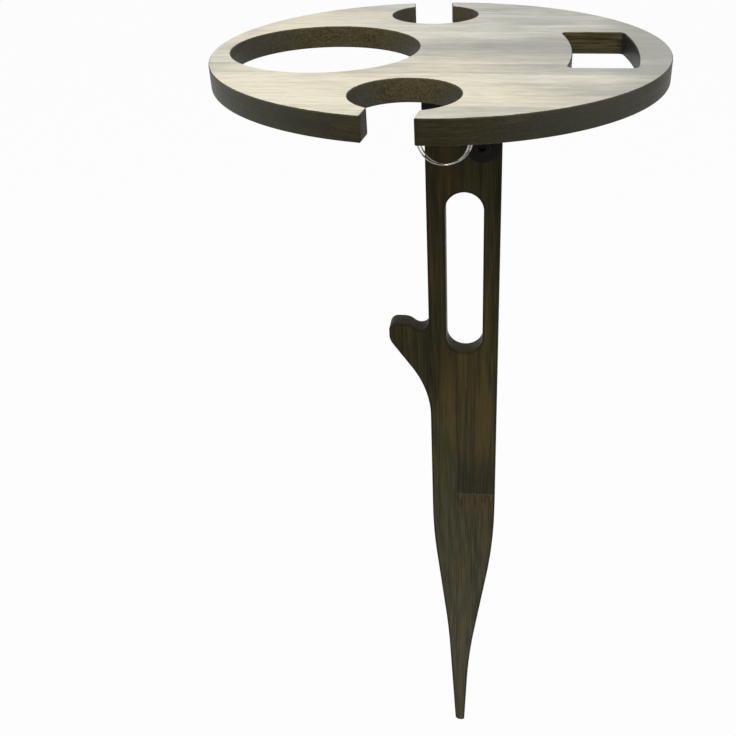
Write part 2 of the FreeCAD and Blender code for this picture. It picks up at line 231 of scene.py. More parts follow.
def carried_edge(loop: Array, inset: Array, height: Array) -> Array:
    """Carry an edge profile along a closed outline that is walked with the wood on its left.

    Point (i, j) is outline point i, moved against its outward normal by inset j, at height j.

    Args:
        loop: Outline points, one row each.
        inset: Profile insets.
        height: Profile heights.

    Returns:
        Grid of points, outline by profile by (u, v, height).
    """
    ahead = np.roll(loop, -1, axis=0) - loop
    ahead /= np.linalg.norm(ahead, axis=1, keepdims=True)
    along = ahead + np.roll(ahead, 1, axis=0)
    along /= np.linalg.norm(along, axis=1, keepdims=True)
    outward = np.stack((along[:, 1], -along[:, 0]), axis=1)
    flat = loop[:, None, :] - outward[:, None, :] * inset[None, :, None]
    high = np.broadcast_to(height[None, :, None], flat.shape[:2] + (1,))
    return np.concatenate((flat, high), axis=2)


def band_faces(rows: int, columns: int, first: int, ring: bool) -> Array:
    """Four-sided faces of a grid whose vertices are numbered row by row.

    Args:
        rows: Number of rows.
        columns: Number of columns.
        first: Number of the grid's first vertex.
        ring: True if the last row joins the first, False if the last column joins the first.

    Returns:
        Vertex numbers, one face each row.
    """
    i = np.arange(rows if ring else rows - 1)[:, None]
    j = np.arange(columns - 1 if ring else columns)[None, :]
    row, column = (i + 1) % rows, (j + 1) % columns
    corners = (i * columns + j, i * columns + column, row * columns + column, row * columns + j)
    return first + np.stack(np.broadcast_arrays(*corners), axis=2).reshape(-1, 4)


def make_object(name: str, points: Array, smooth: Array, flat: list[list[int]]) -> bpy.types.Object:
    """Put arrays of points and faces into a new object at the origin.

    Args:
        name: Name of the piece.
        points: Vertex places.
        smooth: Four-sided faces that are shaded smooth.
        flat: Other faces, shaded flat.

    Returns:
        The object, linked to the scene.
    """
    mesh = bpy.data.meshes.new(name)
    mesh.from_pydata(points.tolist(), [], smooth.tolist() + flat)
    shading = np.arange(len(smooth) + len(flat)) < len(smooth)
    mesh.polygons.foreach_set("use_smooth", shading)
    mesh.update()
    piece = bpy.data.objects.new(name, mesh)
    bpy.context.scene.collection.objects.link(piece)
    return piece


def make_board(
    name: str, loops: Sequence[Array], profile: tuple[Array, Array], place: Callable[[Array], Array]
) -> bpy.types.Object:
    """Make a flat board from its outlines.

    The edge profile is carried along every outline, and the two faces between the borders are filled.
    The edge attribute rises from 0 on a border's inner side to 1 at the edge.

    Args:
        name: Name of the piece.
        loops: The outer outline, then the holes, all walked with the wood on their left.
        profile: Insets and heights of the edge profile.
        place: Turns rows of (u, v, height) into places in the frame.

    Returns:
        The board's object.
    """
    grids = [carried_edge(loop, *profile) for loop in loops]
    columns = len(profile[0])
    rows = [len(loop) for loop in loops]
    starts = np.concatenate(([0], np.cumsum(rows)))
    walls = [
        band_faces(count, columns, start * columns, ring=True) for count, start in zip(rows, starts)
    ]
    points = np.concatenate([grid.reshape(-1, 3) for grid in grids])
    border = np.concatenate([grid[:, 0, :2] for grid in grids])
    fill = np.array(tessellate_polygon([grid[:, 0, :2].tolist() for grid in grids]))
    one, two = border[fill[:, 1]] - border[fill[:, 0]], border[fill[:, 2]] - border[fill[:, 0]]
    backward = one[:, 0] * two[:, 1] < one[:, 1] * two[:, 0]
    fill[backward] = fill[backward][:, ::-1]
    upper, lower = fill * columns, fill[:, ::-1] * columns + columns - 1
    board = make_object(name, place(points), np.concatenate(walls), upper.tolist() + lower.tolist())
    column = np.arange(len(points)) % columns
    at_edge = (column > 0) & (column < columns - 1)
    share = board.data.attributes.new(EDGE_ATTRIBUTE, "FLOAT", "POINT")
    share.data.foreach_set("value", at_edge.astype(np.float32))
    return board


class Graph:
    """Writes shader nodes and links into one node tree.

    Attributes:
        layer_share: Strength of each finer layer of noise, as a share of the one before.
    """

    layer_share: float = 0.6

    def __init__(self, tree: bpy.types.NodeTree) -> None:
        """Hold the tree that gets the nodes."""
        self.tree = tree

    def feed(self, socket: Socket, value: Any) -> None:
        """Link a socket to another one, or set its value.

        Args:
            socket: Input that gets the value.
            value: An output socket, a colour of three parts or a plain value.
        """
        if isinstance(value, Socket):
            self.tree.links.new(value, socket)
        elif isinstance(value, tuple) and socket.type == "RGBA":
            socket.default_value = (*value, 1.0)
        else:
            socket.default_value = value

    def add(
        self, kind: str, inputs: dict[str | int, Any] | None = None, **settings: Any
    ) -> bpy.types.Node:
        """Add a node.

        Args:
            kind: Blender's name of the node type.
            inputs: Values or sockets for the node's inputs, by name or number.
            settings: The node's own properties.

        Returns:
            The new node.
        """
        node = self.tree.nodes.new(kind)
        for name, value in settings.items():
            setattr(node, name, value)
        for name, value in (inputs or {}).items():
            self.feed(node.inputs[name], value)
        return node

    def math(self, operation: str, first: Any, second: Any = 0.0) -> Socket:
        """Work out one sum on two values."""
        return self.add("ShaderNodeMath", {0: first, 1: second}, operation=operation).outputs[0]

    def ramp(self, value: Any, low: float, high: float, start: float = 0.0, end: float = 1.0) -> Socket:
        """Rise smoothly from start to end while a value goes from low to high."""
        inputs = {"Value": value, "From Min": low, "From Max": high, "To Min": start, "To Max": end}
        return self.add("ShaderNodeMapRange", inputs, interpolation_type="SMOOTHSTEP").outputs[0]

    def mix(self, share: Any, first: Any, second: Any) -> Socket:
        """Blend two colours, with the share of the second."""
        inputs = {0: share, 6: first, 7: second}
        return self.add("ShaderNodeMix", inputs, data_type="RGBA").outputs[2]

    def noise(self, vector: Socket, density: Triple, detail: float) -> Socket:
        """Noise with its own density along each axis.

        Args:
            vector: Place on the surface.
            density: Cycles per metre along each axis.
            detail: Number of finer layers.

        Returns:
            The value socket, from 0 to 1.
        """
        scaled = self.add("ShaderNodeVectorMath", {0: vector, 1: density}, operation="MULTIPLY")
        inputs = {"Vector": scaled.outputs[0], "Scale": 1.0, "Detail": detail}
        inputs["Roughness"] = self.layer_share
        return self.add("ShaderNodeTexNoise", inputs).outputs[0]

    def split(self, vector: Socket) -> tuple[Socket, Socket, Socket]:
        """Split a vector into its three parts."""
        node = self.add("ShaderNodeSeparateXYZ", {0: vector})
        return node.outputs[0], node.outputs[1], node.outputs[2]

    def join(self, x: Any, y: Any, z: Any) -> Socket:
        """Join three values into a vector."""
        return self.add("ShaderNodeCombineXYZ", {0: x, 1: y, 2: z}).outputs[0]

    def oval(self, place: tuple[Socket, Socket], middle: Pair, reach: Pair) -> Socket:
        """Squared distance from the middle of an oval, 1 on its line.

        Args:
            place: The two coordinates of the surface.
            middle: Middle of the oval.
            reach: Its half lengths.

        Returns:
            The value socket.
        """
        shares = [
            self.math("DIVIDE", self.math("SUBTRACT", value, centre), length)
            for value, centre, length in zip(place, middle, reach)
        ]
        return self.math("ADD", *(self.math("MULTIPLY", share, share) for share in shares))

    def raise_up(self, shader: bpy.types.Node, height: Socket, strength: float, depth: float) -> None:
        """Let a shader's surface rise and fall with a value.

        Args:
            shader: The material's shader.
            height: Value that the surface follows.
            strength: Strength of the bump.
            depth: Depth of the relief.
        """
        inputs = {"Height": height, "Strength": strength, "Distance": depth}
        self.feed(shader.inputs["Normal"], self.add("ShaderNodeBump", inputs).outputs[0])

    def group(self, tree: bpy.types.NodeTree, inputs: dict[str, Any]) -> dict[str, Socket]:
        """Place a node group.

        Args:
            tree: The group.
            inputs: Values or sockets for its inputs, by name.

        Returns:
            Its output sockets by name.
        """
        node = self.add("ShaderNodeGroup", node_tree=tree)
        for name, value in inputs.items():
            self.feed(node.inputs[name], value)
        return {socket.name: socket for socket in node.outputs}


def new_group(
    name: str, inputs: Sequence[tuple[str, str, float]], outputs: Sequence[str]
) -> tuple[Graph, dict[str, Socket], bpy.types.Node]:
    """Start a shader node group.

    Args:
        name: Name of the group.
        inputs: Name, socket type and default of each input.
        outputs: Names of the value outputs.

    Returns:
        The group's graph, its input sockets by name and its output node.
    """
    tree = bpy.data.node_groups.new(name, "ShaderNodeTree")
    for label, kind, default in inputs:
        socket = tree.interface.new_socket(name=label, in_out="INPUT", socket_type=kind)
        if kind == "NodeSocketFloat":
            socket.default_value = default
    for label in outputs:
        tree.interface.new_socket(name=label, in_out="OUTPUT", socket_type="NodeSocketFloat")
    graph = Graph(tree)
    entry = graph.add("NodeGroupInput")
    leave = graph.add("NodeGroupOutput")
    return graph, {socket.name: socket for socket in entry.outputs}, leave


@dataclass
class Effects:
    """Shader node groups that several finishes share.

    Fades are distances on the wood, and densities are cycles per metre along the grain, across the
    strips and through the plies.

    Attributes:
        plies: Number of plies in a board.
        inner: Share of the depth that is counted, so that the faces stay inside the outer plies.
        ply_slip: Shift of the strips from ply to ply, in strip widths.
        grain_slip: Greatest shift of a strip's grain by its own number.
        streaks: Density of the streaks.
        fibres: Density of the fibres.
        flecks: Density of the flecks at a knuckle.
        seam_fade: Where a seam between strips fades.
        seam_share: Strength of a seam.
        glue_fade: Where a glue line between plies fades.
        jointed: Tones over which strips begin to show their knuckles.
        waver: Most that a knuckle's line strays along the grain.
        ridge_fade: Where a knuckle's line fades.
        collar_fade: Places under the line between which the collar sets in.
        collar_end: Places under the line between which the collar ends.
        shade_fade: Places over the line between which the dark wood sets in.
        shade_end: Places over the line between which the dark wood ends.
        rub_rise: Shares of an edge's round over which its wear sets in.
        rub_fall: Shares of an edge's round over which its wear ends.
        rubs: Density of the breaks in that wear.
        clouds: Density of the cloudy tone of metal.
        specks: Density of the fine grain of metal.
        scratches: Density of the scratches on metal.
    """

    plies: float = 3.0
    inner: float = 0.998
    ply_slip: float = 0.41
    grain_slip: float = 3.7
    streaks: Triple = (2.6, 190.0, 190.0)
    fibres: Triple = (11.0, 1150.0, 1150.0)
    flecks: Triple = (34.0, 430.0, 430.0)
    seam_fade: Pair = (0.1 * MM, 0.5 * MM)
    seam_share: float = 0.75
    glue_fade: Pair = (0.05 * MM, 0.4 * MM)
    jointed: Pair = (0.40, 0.65)
    waver: float = 1.2 * MM
    ridge_fade: Pair = (0.2 * MM, 0.9 * MM)
    collar_fade: Pair = (-32.0 * MM, -9.0 * MM)
    collar_end: Pair = (-0.9 * MM, -0.3 * MM)
    shade_fade: Pair = (58.0 * MM, 14.0 * MM)
    shade_end: Pair = (0.3 * MM, 1.5 * MM)
    rub_rise: Pair = (0.02, 0.25)
    rub_fall: Pair = (0.4, 1.3)
    rubs: Triple = (55.0, 55.0, 55.0)
    clouds: Triple = (90.0, 90.0, 90.0)
    specks: Triple = (2600.0, 2600.0, 2600.0)
    scratches: Triple = (260.0, 2900.0, 160.0)

    def __post_init__(self) -> None:
        """Build every group once."""
        self.bamboo = self.build_bamboo()
        self.rubbed_edge = self.build_rubbed_edge()
        self.metal_grain = self.build_metal_grain()

    def build_bamboo(self) -> bpy.types.NodeTree:
        """Laminated bamboo: strips in plies, with streaks, fibres, glue lines and knuckles.

        The vector's X runs along the grain, Y across the strips and Z through the plies from the
        middle. Strips are numbered by their place across each ply, and a number drawn for each strip
        shifts its grain. Ridge is the thin line of a knuckle, Collar the wood under it, Knuckle the
        flecks there and Shade the dark wood over it.

        Returns:
            Group with the outputs Tone, Streak, Fibre, Line, Knuckle, Ridge, Collar and Shade, each
            from 0 to 1.
        """
        inputs = [
            ("Vector", "NodeSocketVector", 0.0),
            ("Strip Width", "NodeSocketFloat", 19.0 * MM),
            ("Half Depth", "NodeSocketFloat", 7.5 * MM),
            ("Knuckle Pitch", "NodeSocketFloat", 0.29),
            ("Streak Density", "NodeSocketFloat", 1.0),
        ]
        outputs = ["Tone", "Streak", "Fibre", "Line", "Knuckle", "Ridge", "Collar", "Shade"]
        graph, given, leave = new_group("laminated_bamboo", inputs, outputs)
        along, across, deep = graph.split(given["Vector"])
        width, half, pitch = given["Strip Width"], given["Half Depth"], given["Knuckle Pitch"]
        level = graph.math("MULTIPLY", graph.math("DIVIDE", deep, half), self.inner)
        raised = graph.math("ADD", level, 1.0)
        ply = graph.math("FLOOR", graph.math("MULTIPLY", raised, self.plies / 2))
        slip = graph.math("MULTIPLY", ply, self.ply_slip)
        slid = graph.math("ADD", graph.math("DIVIDE", across, width), slip)
        strip = graph.math("FLOOR", slid)
        number = {"Vector": graph.join(strip, ply, 0.0)}
        tone = graph.add("ShaderNodeTexWhiteNoise", number, noise_dimensions="2D").outputs["Value"]
        off_middle = graph.math("SUBTRACT", graph.math("SUBTRACT", slid, strip), 0.5)
        off_seam = graph.math("SUBTRACT", 0.5, graph.math("ABSOLUTE", off_middle))
        to_seam = graph.math("MULTIPLY", off_seam, width)
        seam = graph.ramp(to_seam, *self.seam_fade, self.seam_share, 0.0)
        glue = graph.math("DIVIDE", half, self.plies)
        off_glue = graph.math("SUBTRACT", graph.math("ABSOLUTE", deep), glue)
        glued = graph.ramp(graph.math("ABSOLUTE", off_glue), *self.glue_fade, 1.0, 0.0)
        shifted = graph.math("ADD", along, graph.math("MULTIPLY", tone, self.grain_slip))
        own = graph.join(graph.math("MULTIPLY", shifted, given["Streak Density"]), across, deep)
        streak = graph.ramp(graph.noise(own, self.streaks, 3.0), 0.28, 0.72)
        fibre = graph.ramp(graph.noise(own, self.fibres, 2.0), 0.25, 0.75)
        fleck = graph.ramp(graph.noise(own, self.flecks, 2.0), 0.48, 0.58)
        turns = graph.math("FRACT", graph.math("DIVIDE", shifted, pitch))
        level_past = graph.math("MULTIPLY", graph.math("SUBTRACT", turns, 0.5), pitch)
        stray = graph.math("MULTIPLY", graph.math("SUBTRACT", streak, 0.5), self.waver)
        past = graph.math("ADD", level_past, stray)
        jointed = graph.ramp(tone, *self.jointed)
        ridge = graph.ramp(graph.math("ABSOLUTE", past), *self.ridge_fade, 1.0, 0.0)
        under = graph.ramp(past, *self.collar_end, 1.0, 0.0)
        below = graph.math("MULTIPLY", graph.ramp(past, *self.collar_fade), under)
        over = graph.ramp(past, *self.shade_end)
        above = graph.math("MULTIPLY", graph.ramp(past, *self.shade_fade), over)
        collar = graph.math("MULTIPLY", below, jointed)
        made = {
            "Tone": tone,
            "Streak": streak,
            "Fibre": fibre,
            "Line": graph.math("MAXIMUM", seam, glued),
            "Knuckle": graph.math("MULTIPLY", collar, fleck),
            "Ridge": graph.math("MULTIPLY", ridge, jointed),
            "Collar": collar,
            "Shade": graph.math("MULTIPLY", above, jointed),
        }
        for name, socket in made.items():
            graph.feed(leave.inputs[name], socket)
        return graph.tree

    def build_rubbed_edge(self) -> bpy.types.NodeTree:
        """Wear on a board's eased edges: strongest halfway round the edge, broken up by noise.

        Returns:
            Group with the output Rub, from 0 to 1.
        """
        inputs = [
            ("Vector", "NodeSocketVector", 0.0),
            ("Depth", "NodeSocketFloat", 0.0),
            ("Half Depth", "NodeSocketFloat", 7.5 * MM),
            ("Round", "NodeSocketFloat", 1.0 * MM),
        ]
        graph, given, leave = new_group("rubbed_edge", inputs, ["Rub"])
        inside = graph.math("SUBTRACT", given["Half Depth"], graph.math("ABSOLUTE", given["Depth"]))
        share = graph.math("DIVIDE", inside, given["Round"])
        rise = graph.ramp(share, *self.rub_rise)
        fall = graph.ramp(share, *self.rub_fall, 1.0, 0.0)
        broken = graph.ramp(graph.noise(given["Vector"], self.rubs, 4.0), 0.35, 0.7, 0.25, 1.0)
        rub = graph.math("MULTIPLY", graph.math("MULTIPLY", rise, fall), broken)
        graph.feed(leave.inputs["Rub"], rub)
        return graph.tree

    def build_metal_grain(self) -> bpy.types.NodeTree:
        """Surface of worked metal: cloudy tone, fine grain and sparse scratches.

        Returns:
            Group with the outputs Cloud, Grain and Scratch, each from 0 to 1.
        """
        inputs = [("Vector", "NodeSocketVector", 0.0)]
        graph, given, leave = new_group("worked_metal", inputs, ["Cloud", "Grain", "Scratch"])
        place = given["Vector"]
        made = {
            "Cloud": graph.ramp(graph.noise(place, self.clouds, 3.0), 0.3, 0.7),
            "Grain": graph.ramp(graph.noise(place, self.specks, 2.0), 0.25, 0.75),
            "Scratch": graph.ramp(graph.noise(place, self.scratches, 1.0), 0.68, 0.76),
        }
        for name, socket in made.items():
            graph.feed(leave.inputs[name], socket)
        return graph.tree


@dataclass(frozen=True)
class BambooStain:
    """Dark brown stain on bamboo.

    Attributes:
        deep: Colour in the darkest streaks.
        body: Colour of most of the wood.
        bright: Colour of the palest fibres.
        warm: Brown where the stain took lightly.
        fleck: Red-brown of the flecks at a knuckle.
        rubbed: Colour of worn wood.
        thin: Colour on the long grain inside a hole, where the stain is thin.
        end_grain_and_sheen_grey: Grey of the end grain inside a round hole, and the painted sheen on the
            rim towards its sides.
        slate: Near black of the end grain inside the hand hole.
        bright_share: Share of the palest fibres.
        warm_shares: Shares of the brown in the darkest and in the palest streaks.
        shade_share: Depth of the dark wood over a knuckle.
        collar_share: Share of brown under a knuckle.
        ridge_share: Strength of a knuckle's line.
        fleck_share: Strength of the flecks.
        line_share: Strength of the seams and glue lines.
    """

    deep: Colour = (0.016, 0.0135, 0.005)
    body: Colour = (0.050, 0.0435, 0.0155)
    bright: Colour = (0.088, 0.080, 0.036)
    warm: Colour = (0.112, 0.066, 0.018)
    fleck: Colour = (0.030, 0.0135, 0.005)
    rubbed: Colour = (0.150, 0.146, 0.098)
    thin: Colour = (0.128, 0.102, 0.054)
    end_grain_and_sheen_grey: Colour = (0.075, 0.076, 0.062)
    slate: Colour = (0.018, 0.0215, 0.021)
    bright_share: float = 0.45
    warm_shares: Pair = (0.1, 0.45)
    shade_share: float = 0.88
    collar_share: float = 0.35
    ridge_share: float = 0.26
    fleck_share: float = 0.85
    line_share: float = 0.5

    def colour(self, graph: Graph, wood: dict[str, Socket], patches: Socket) -> Socket:
        """Stained wood before wear.

        Args:
            graph: Graph of the material.
            wood: Outputs of the bamboo group.
            patches: Slow noise from 0 to 1.

        Returns:
            The colour socket.
        """
        streaked = graph.mix(wood["Streak"], self.deep, self.body)
        fibres = graph.math("MULTIPLY", graph.ramp(wood["Fibre"], 0.35, 1.0), self.bright_share)
        fibred = graph.mix(fibres, streaked, self.bright)
        took = graph.ramp(wood["Streak"], 0.3, 1.0, *self.warm_shares)
        lightly = graph.math("MULTIPLY", graph.ramp(patches, 0.35, 0.90), took)
        shown = graph.mix(lightly, fibred, self.warm)
        layers = (
            ("Shade", self.shade_share, self.deep),
            ("Collar", self.collar_share, self.warm),
            ("Ridge", self.ridge_share, self.rubbed),
            ("Knuckle", self.fleck_share, self.fleck),
            ("Line", self.line_share, self.deep),
        )
        for part, share, colour in layers:
            shown = graph.mix(graph.math("MULTIPLY", wood[part], share), shown, colour)
        return shown


@dataclass(frozen=True)
class PaleWash:
    """Pale washed face over the stained board.

    Attributes:
        cream: Colour where the wash lies thick.
        cool: The same towards the back right, where the painted light is cooler and weaker.
        grey: Colour where it is thin.
        tan: Colour of patches where the wood shows warm through the wash.
        pore: Colour in the pores and glue lines.
        worn_middle: Middle of the oval where things are set down.
        worn_reach: Half lengths of that oval.
        worn_share: How much thinner the wash is in the oval.
        end_reach: Distances from the middle, along the grain, over which the wash thins to the ends.
        end_share: How much thinner it is at the ends.
        painted_light_slope: Change of the cover for each metre to the right and to the back: painted
            light, paler towards the front left.
        bands: Density of the slow bands.
        band_share: How much the cover changes in the bands.
        streak_share: How much it changes in the streaks.
        strip_share: How much it changes from strip to strip.
        cover_range: Sums of these changes that leave no cover and full cover.
        warm_light_reach: Places along the diagonal over which the painted light turns from cool to
            cream.
        warm_patches: Density of the warm patches.
        warm_share: Strength of the warm patches.
        open_grain: Density of the open grain.
        open_share: Strength of the open grain.
        pore_share: Strength of the pores.
        seam_share: Strength of the seams.
        knuckle_share: Strength of the knuckles.
    """

    cream: Colour = (0.86, 0.81, 0.64)
    cool: Colour = (0.75, 0.745, 0.68)
    grey: Colour = (0.38, 0.385, 0.345)
    tan: Colour = (0.80, 0.66, 0.45)
    pore: Colour = (0.27, 0.225, 0.145)
    worn_middle: Pair = (60.0 * MM, 0.0)
    worn_reach: Pair = (130.0 * MM, 42.0 * MM)
    worn_share: float = 0.50
    end_reach: Pair = (105.0 * MM, 158.0 * MM)
    end_share: float = 0.45
    painted_light_slope: Pair = (-3.0, -0.30)
    bands: Triple = (11.0, 34.0, 34.0)
    band_share: float = 0.26
    streak_share: float = 0.11
    strip_share: float = 0.15
    cover_range: Pair = (-0.82, 0.50)
    warm_light_reach: Pair = (165.0 * MM, -90.0 * MM)
    warm_patches: Triple = (14.0, 62.0, 62.0)
    warm_share: float = 0.40
    open_grain: Triple = (26.0, 430.0, 430.0)
    open_share: float = 0.30
    pore_share: float = 0.32
    seam_share: float = 0.45
    knuckle_share: float = 0.15

    def cover(self, graph: Graph, own: Socket, wood: dict[str, Socket]) -> Socket:
        """How thick the wash lies, from 0 to 1.

        It thins from left to right, as painted light, towards both ends of the grain and over an oval in
        the middle, where things are set down, and changes in slow bands along the grain.

        Args:
            graph: Graph of the material.
            own: Place on the board about its middle.
            wood: Outputs of the bamboo group.

        Returns:
            The value socket.
        """
        x, y, _ = graph.split(own)
        slow = graph.noise(own, self.bands, 5.0)
        oval = graph.oval((x, y), self.worn_middle, self.worn_reach)
        # Painted light: the cover, and so the paleness, falls off to the right and to the back.
        rightward, backward = self.painted_light_slope
        changes = (
            graph.ramp(slow, 0.3, 0.7, -self.band_share, self.band_share),
            graph.ramp(wood["Streak"], 0.0, 1.0, -self.streak_share, self.streak_share),
            graph.ramp(wood["Tone"], 0.0, 1.0, -self.strip_share, self.strip_share),
            graph.math("MULTIPLY", x, rightward),
            graph.math("MULTIPLY", y, backward),
            graph.ramp(oval, 0.1, 1.3, -self.worn_share, 0.0),
            graph.ramp(graph.math("ABSOLUTE", x), *self.end_reach, 0.0, -self.end_share),
        )
        total = changes[0]
        for change in changes[1:]:
            total = graph.math("ADD", total, change)
        return graph.ramp(total, *self.cover_range)

    def colour(self, graph: Graph, own: Socket, wood: dict[str, Socket]) -> Socket:
        """Washed wood.

        Args:
            graph: Graph of the material.
            own: Place on the board about its middle.
            wood: Outputs of the bamboo group.

        Returns:
            The colour socket.
        """
        x, y, _ = graph.split(own)
        # Painted light: cream towards the front left, cooler towards the back right.
        warm_lit = graph.ramp(graph.math("ADD", x, y), *self.warm_light_reach)
        thick = graph.mix(warm_lit, self.cool, self.cream)
        patches = graph.noise(own, self.warm_patches, 3.0)
        warmed = graph.mix(graph.ramp(patches, 0.44, 0.70, 0.0, self.warm_share), thick, self.tan)
        washed = graph.mix(self.cover(graph, own, wood), self.grey, warmed)
        opened = graph.noise(own, self.open_grain, 3.0)
        knuckle = graph.math("MAXIMUM", wood["Knuckle"], wood["Ridge"])
        seams = graph.math("MULTIPLY", wood["Line"], self.seam_share)
        knuckles = graph.math("MULTIPLY", knuckle, self.knuckle_share)
        pores = graph.ramp(wood["Fibre"], 0.45, 0.0, 0.0, self.pore_share)
        open_pores = graph.math("MAXIMUM", pores, graph.ramp(opened, 0.54, 0.66, 0.0, self.open_share))
        marks = graph.math("MAXIMUM", graph.math("MAXIMUM", seams, knuckles), open_pores)
        return graph.mix(marks, washed, self.pore)


@dataclass(frozen=True)
class MetalFinish:
    """Finish of a small metal or plastic piece.

    Attributes:
        name: Name of the material.
        base: Colour of most of the surface.
        cloud_and_reflection: Colour of its cloudy patches; on the ring they are painted reflections.
        metallic: Metallic share, the same all over.
        rough: Roughness of the smooth places.
        rougher: Roughness of the grainy places.
        bump: Height of the grain.
        specular: Specular level, the same all over.
        grain_share: Share of the grain in the roughness.
        relief: Strength of the bump.
    """

    name: str
    base: Colour
    cloud_and_reflection: Colour
    metallic: float
    rough: float
    rougher: float
    bump: float
    specular: float = 0.5
    grain_share: float = 0.6
    relief: float = 0.35

    def material(self, effects: Effects) -> bpy.types.Material:
        """Make the material.

        Args:
            effects: Shared node groups.

        Returns:
            The material.
        """
        material, graph, shader, place = new_material(self.name)
        metal = graph.group(effects.metal_grain, {"Vector": place})
        graph.feed(shader.inputs["Base Color"], graph.mix(metal["Cloud"], self.base, self.cloud_and_reflection))
        shader.inputs["Metallic"].default_value = self.metallic
        shader.inputs["Specular IOR Level"].default_value = self.specular
        grainy = graph.math("MULTIPLY", metal["Grain"], self.grain_share)
        uneven = graph.math("MAXIMUM", grainy, metal["Scratch"])
        graph.feed(shader.inputs["Roughness"], graph.ramp(uneven, 0.0, 1.0, self.rough, self.rougher))
        height = graph.math("SUBTRACT", metal["Grain"], metal["Scratch"])
        graph.raise_up(shader, height, self.relief, self.bump)
        return material


def new_material(name: str) -> tuple[bpy.types.Material, Graph, bpy.types.Node, Socket]:
    """Start a material.

    Args:
        name: Name of the material.

    Returns:
        The material, its graph, its shader and its Object coordinates.
    """
    material = bpy.data.materials.new(name)
    material.use_nodes = True
    graph = Graph(material.node_tree)
    shader = material.node_tree.nodes["Principled BSDF"]
    place = graph.add("ShaderNodeTexCoord").outputs["Object"]
    return material, graph, shader, place


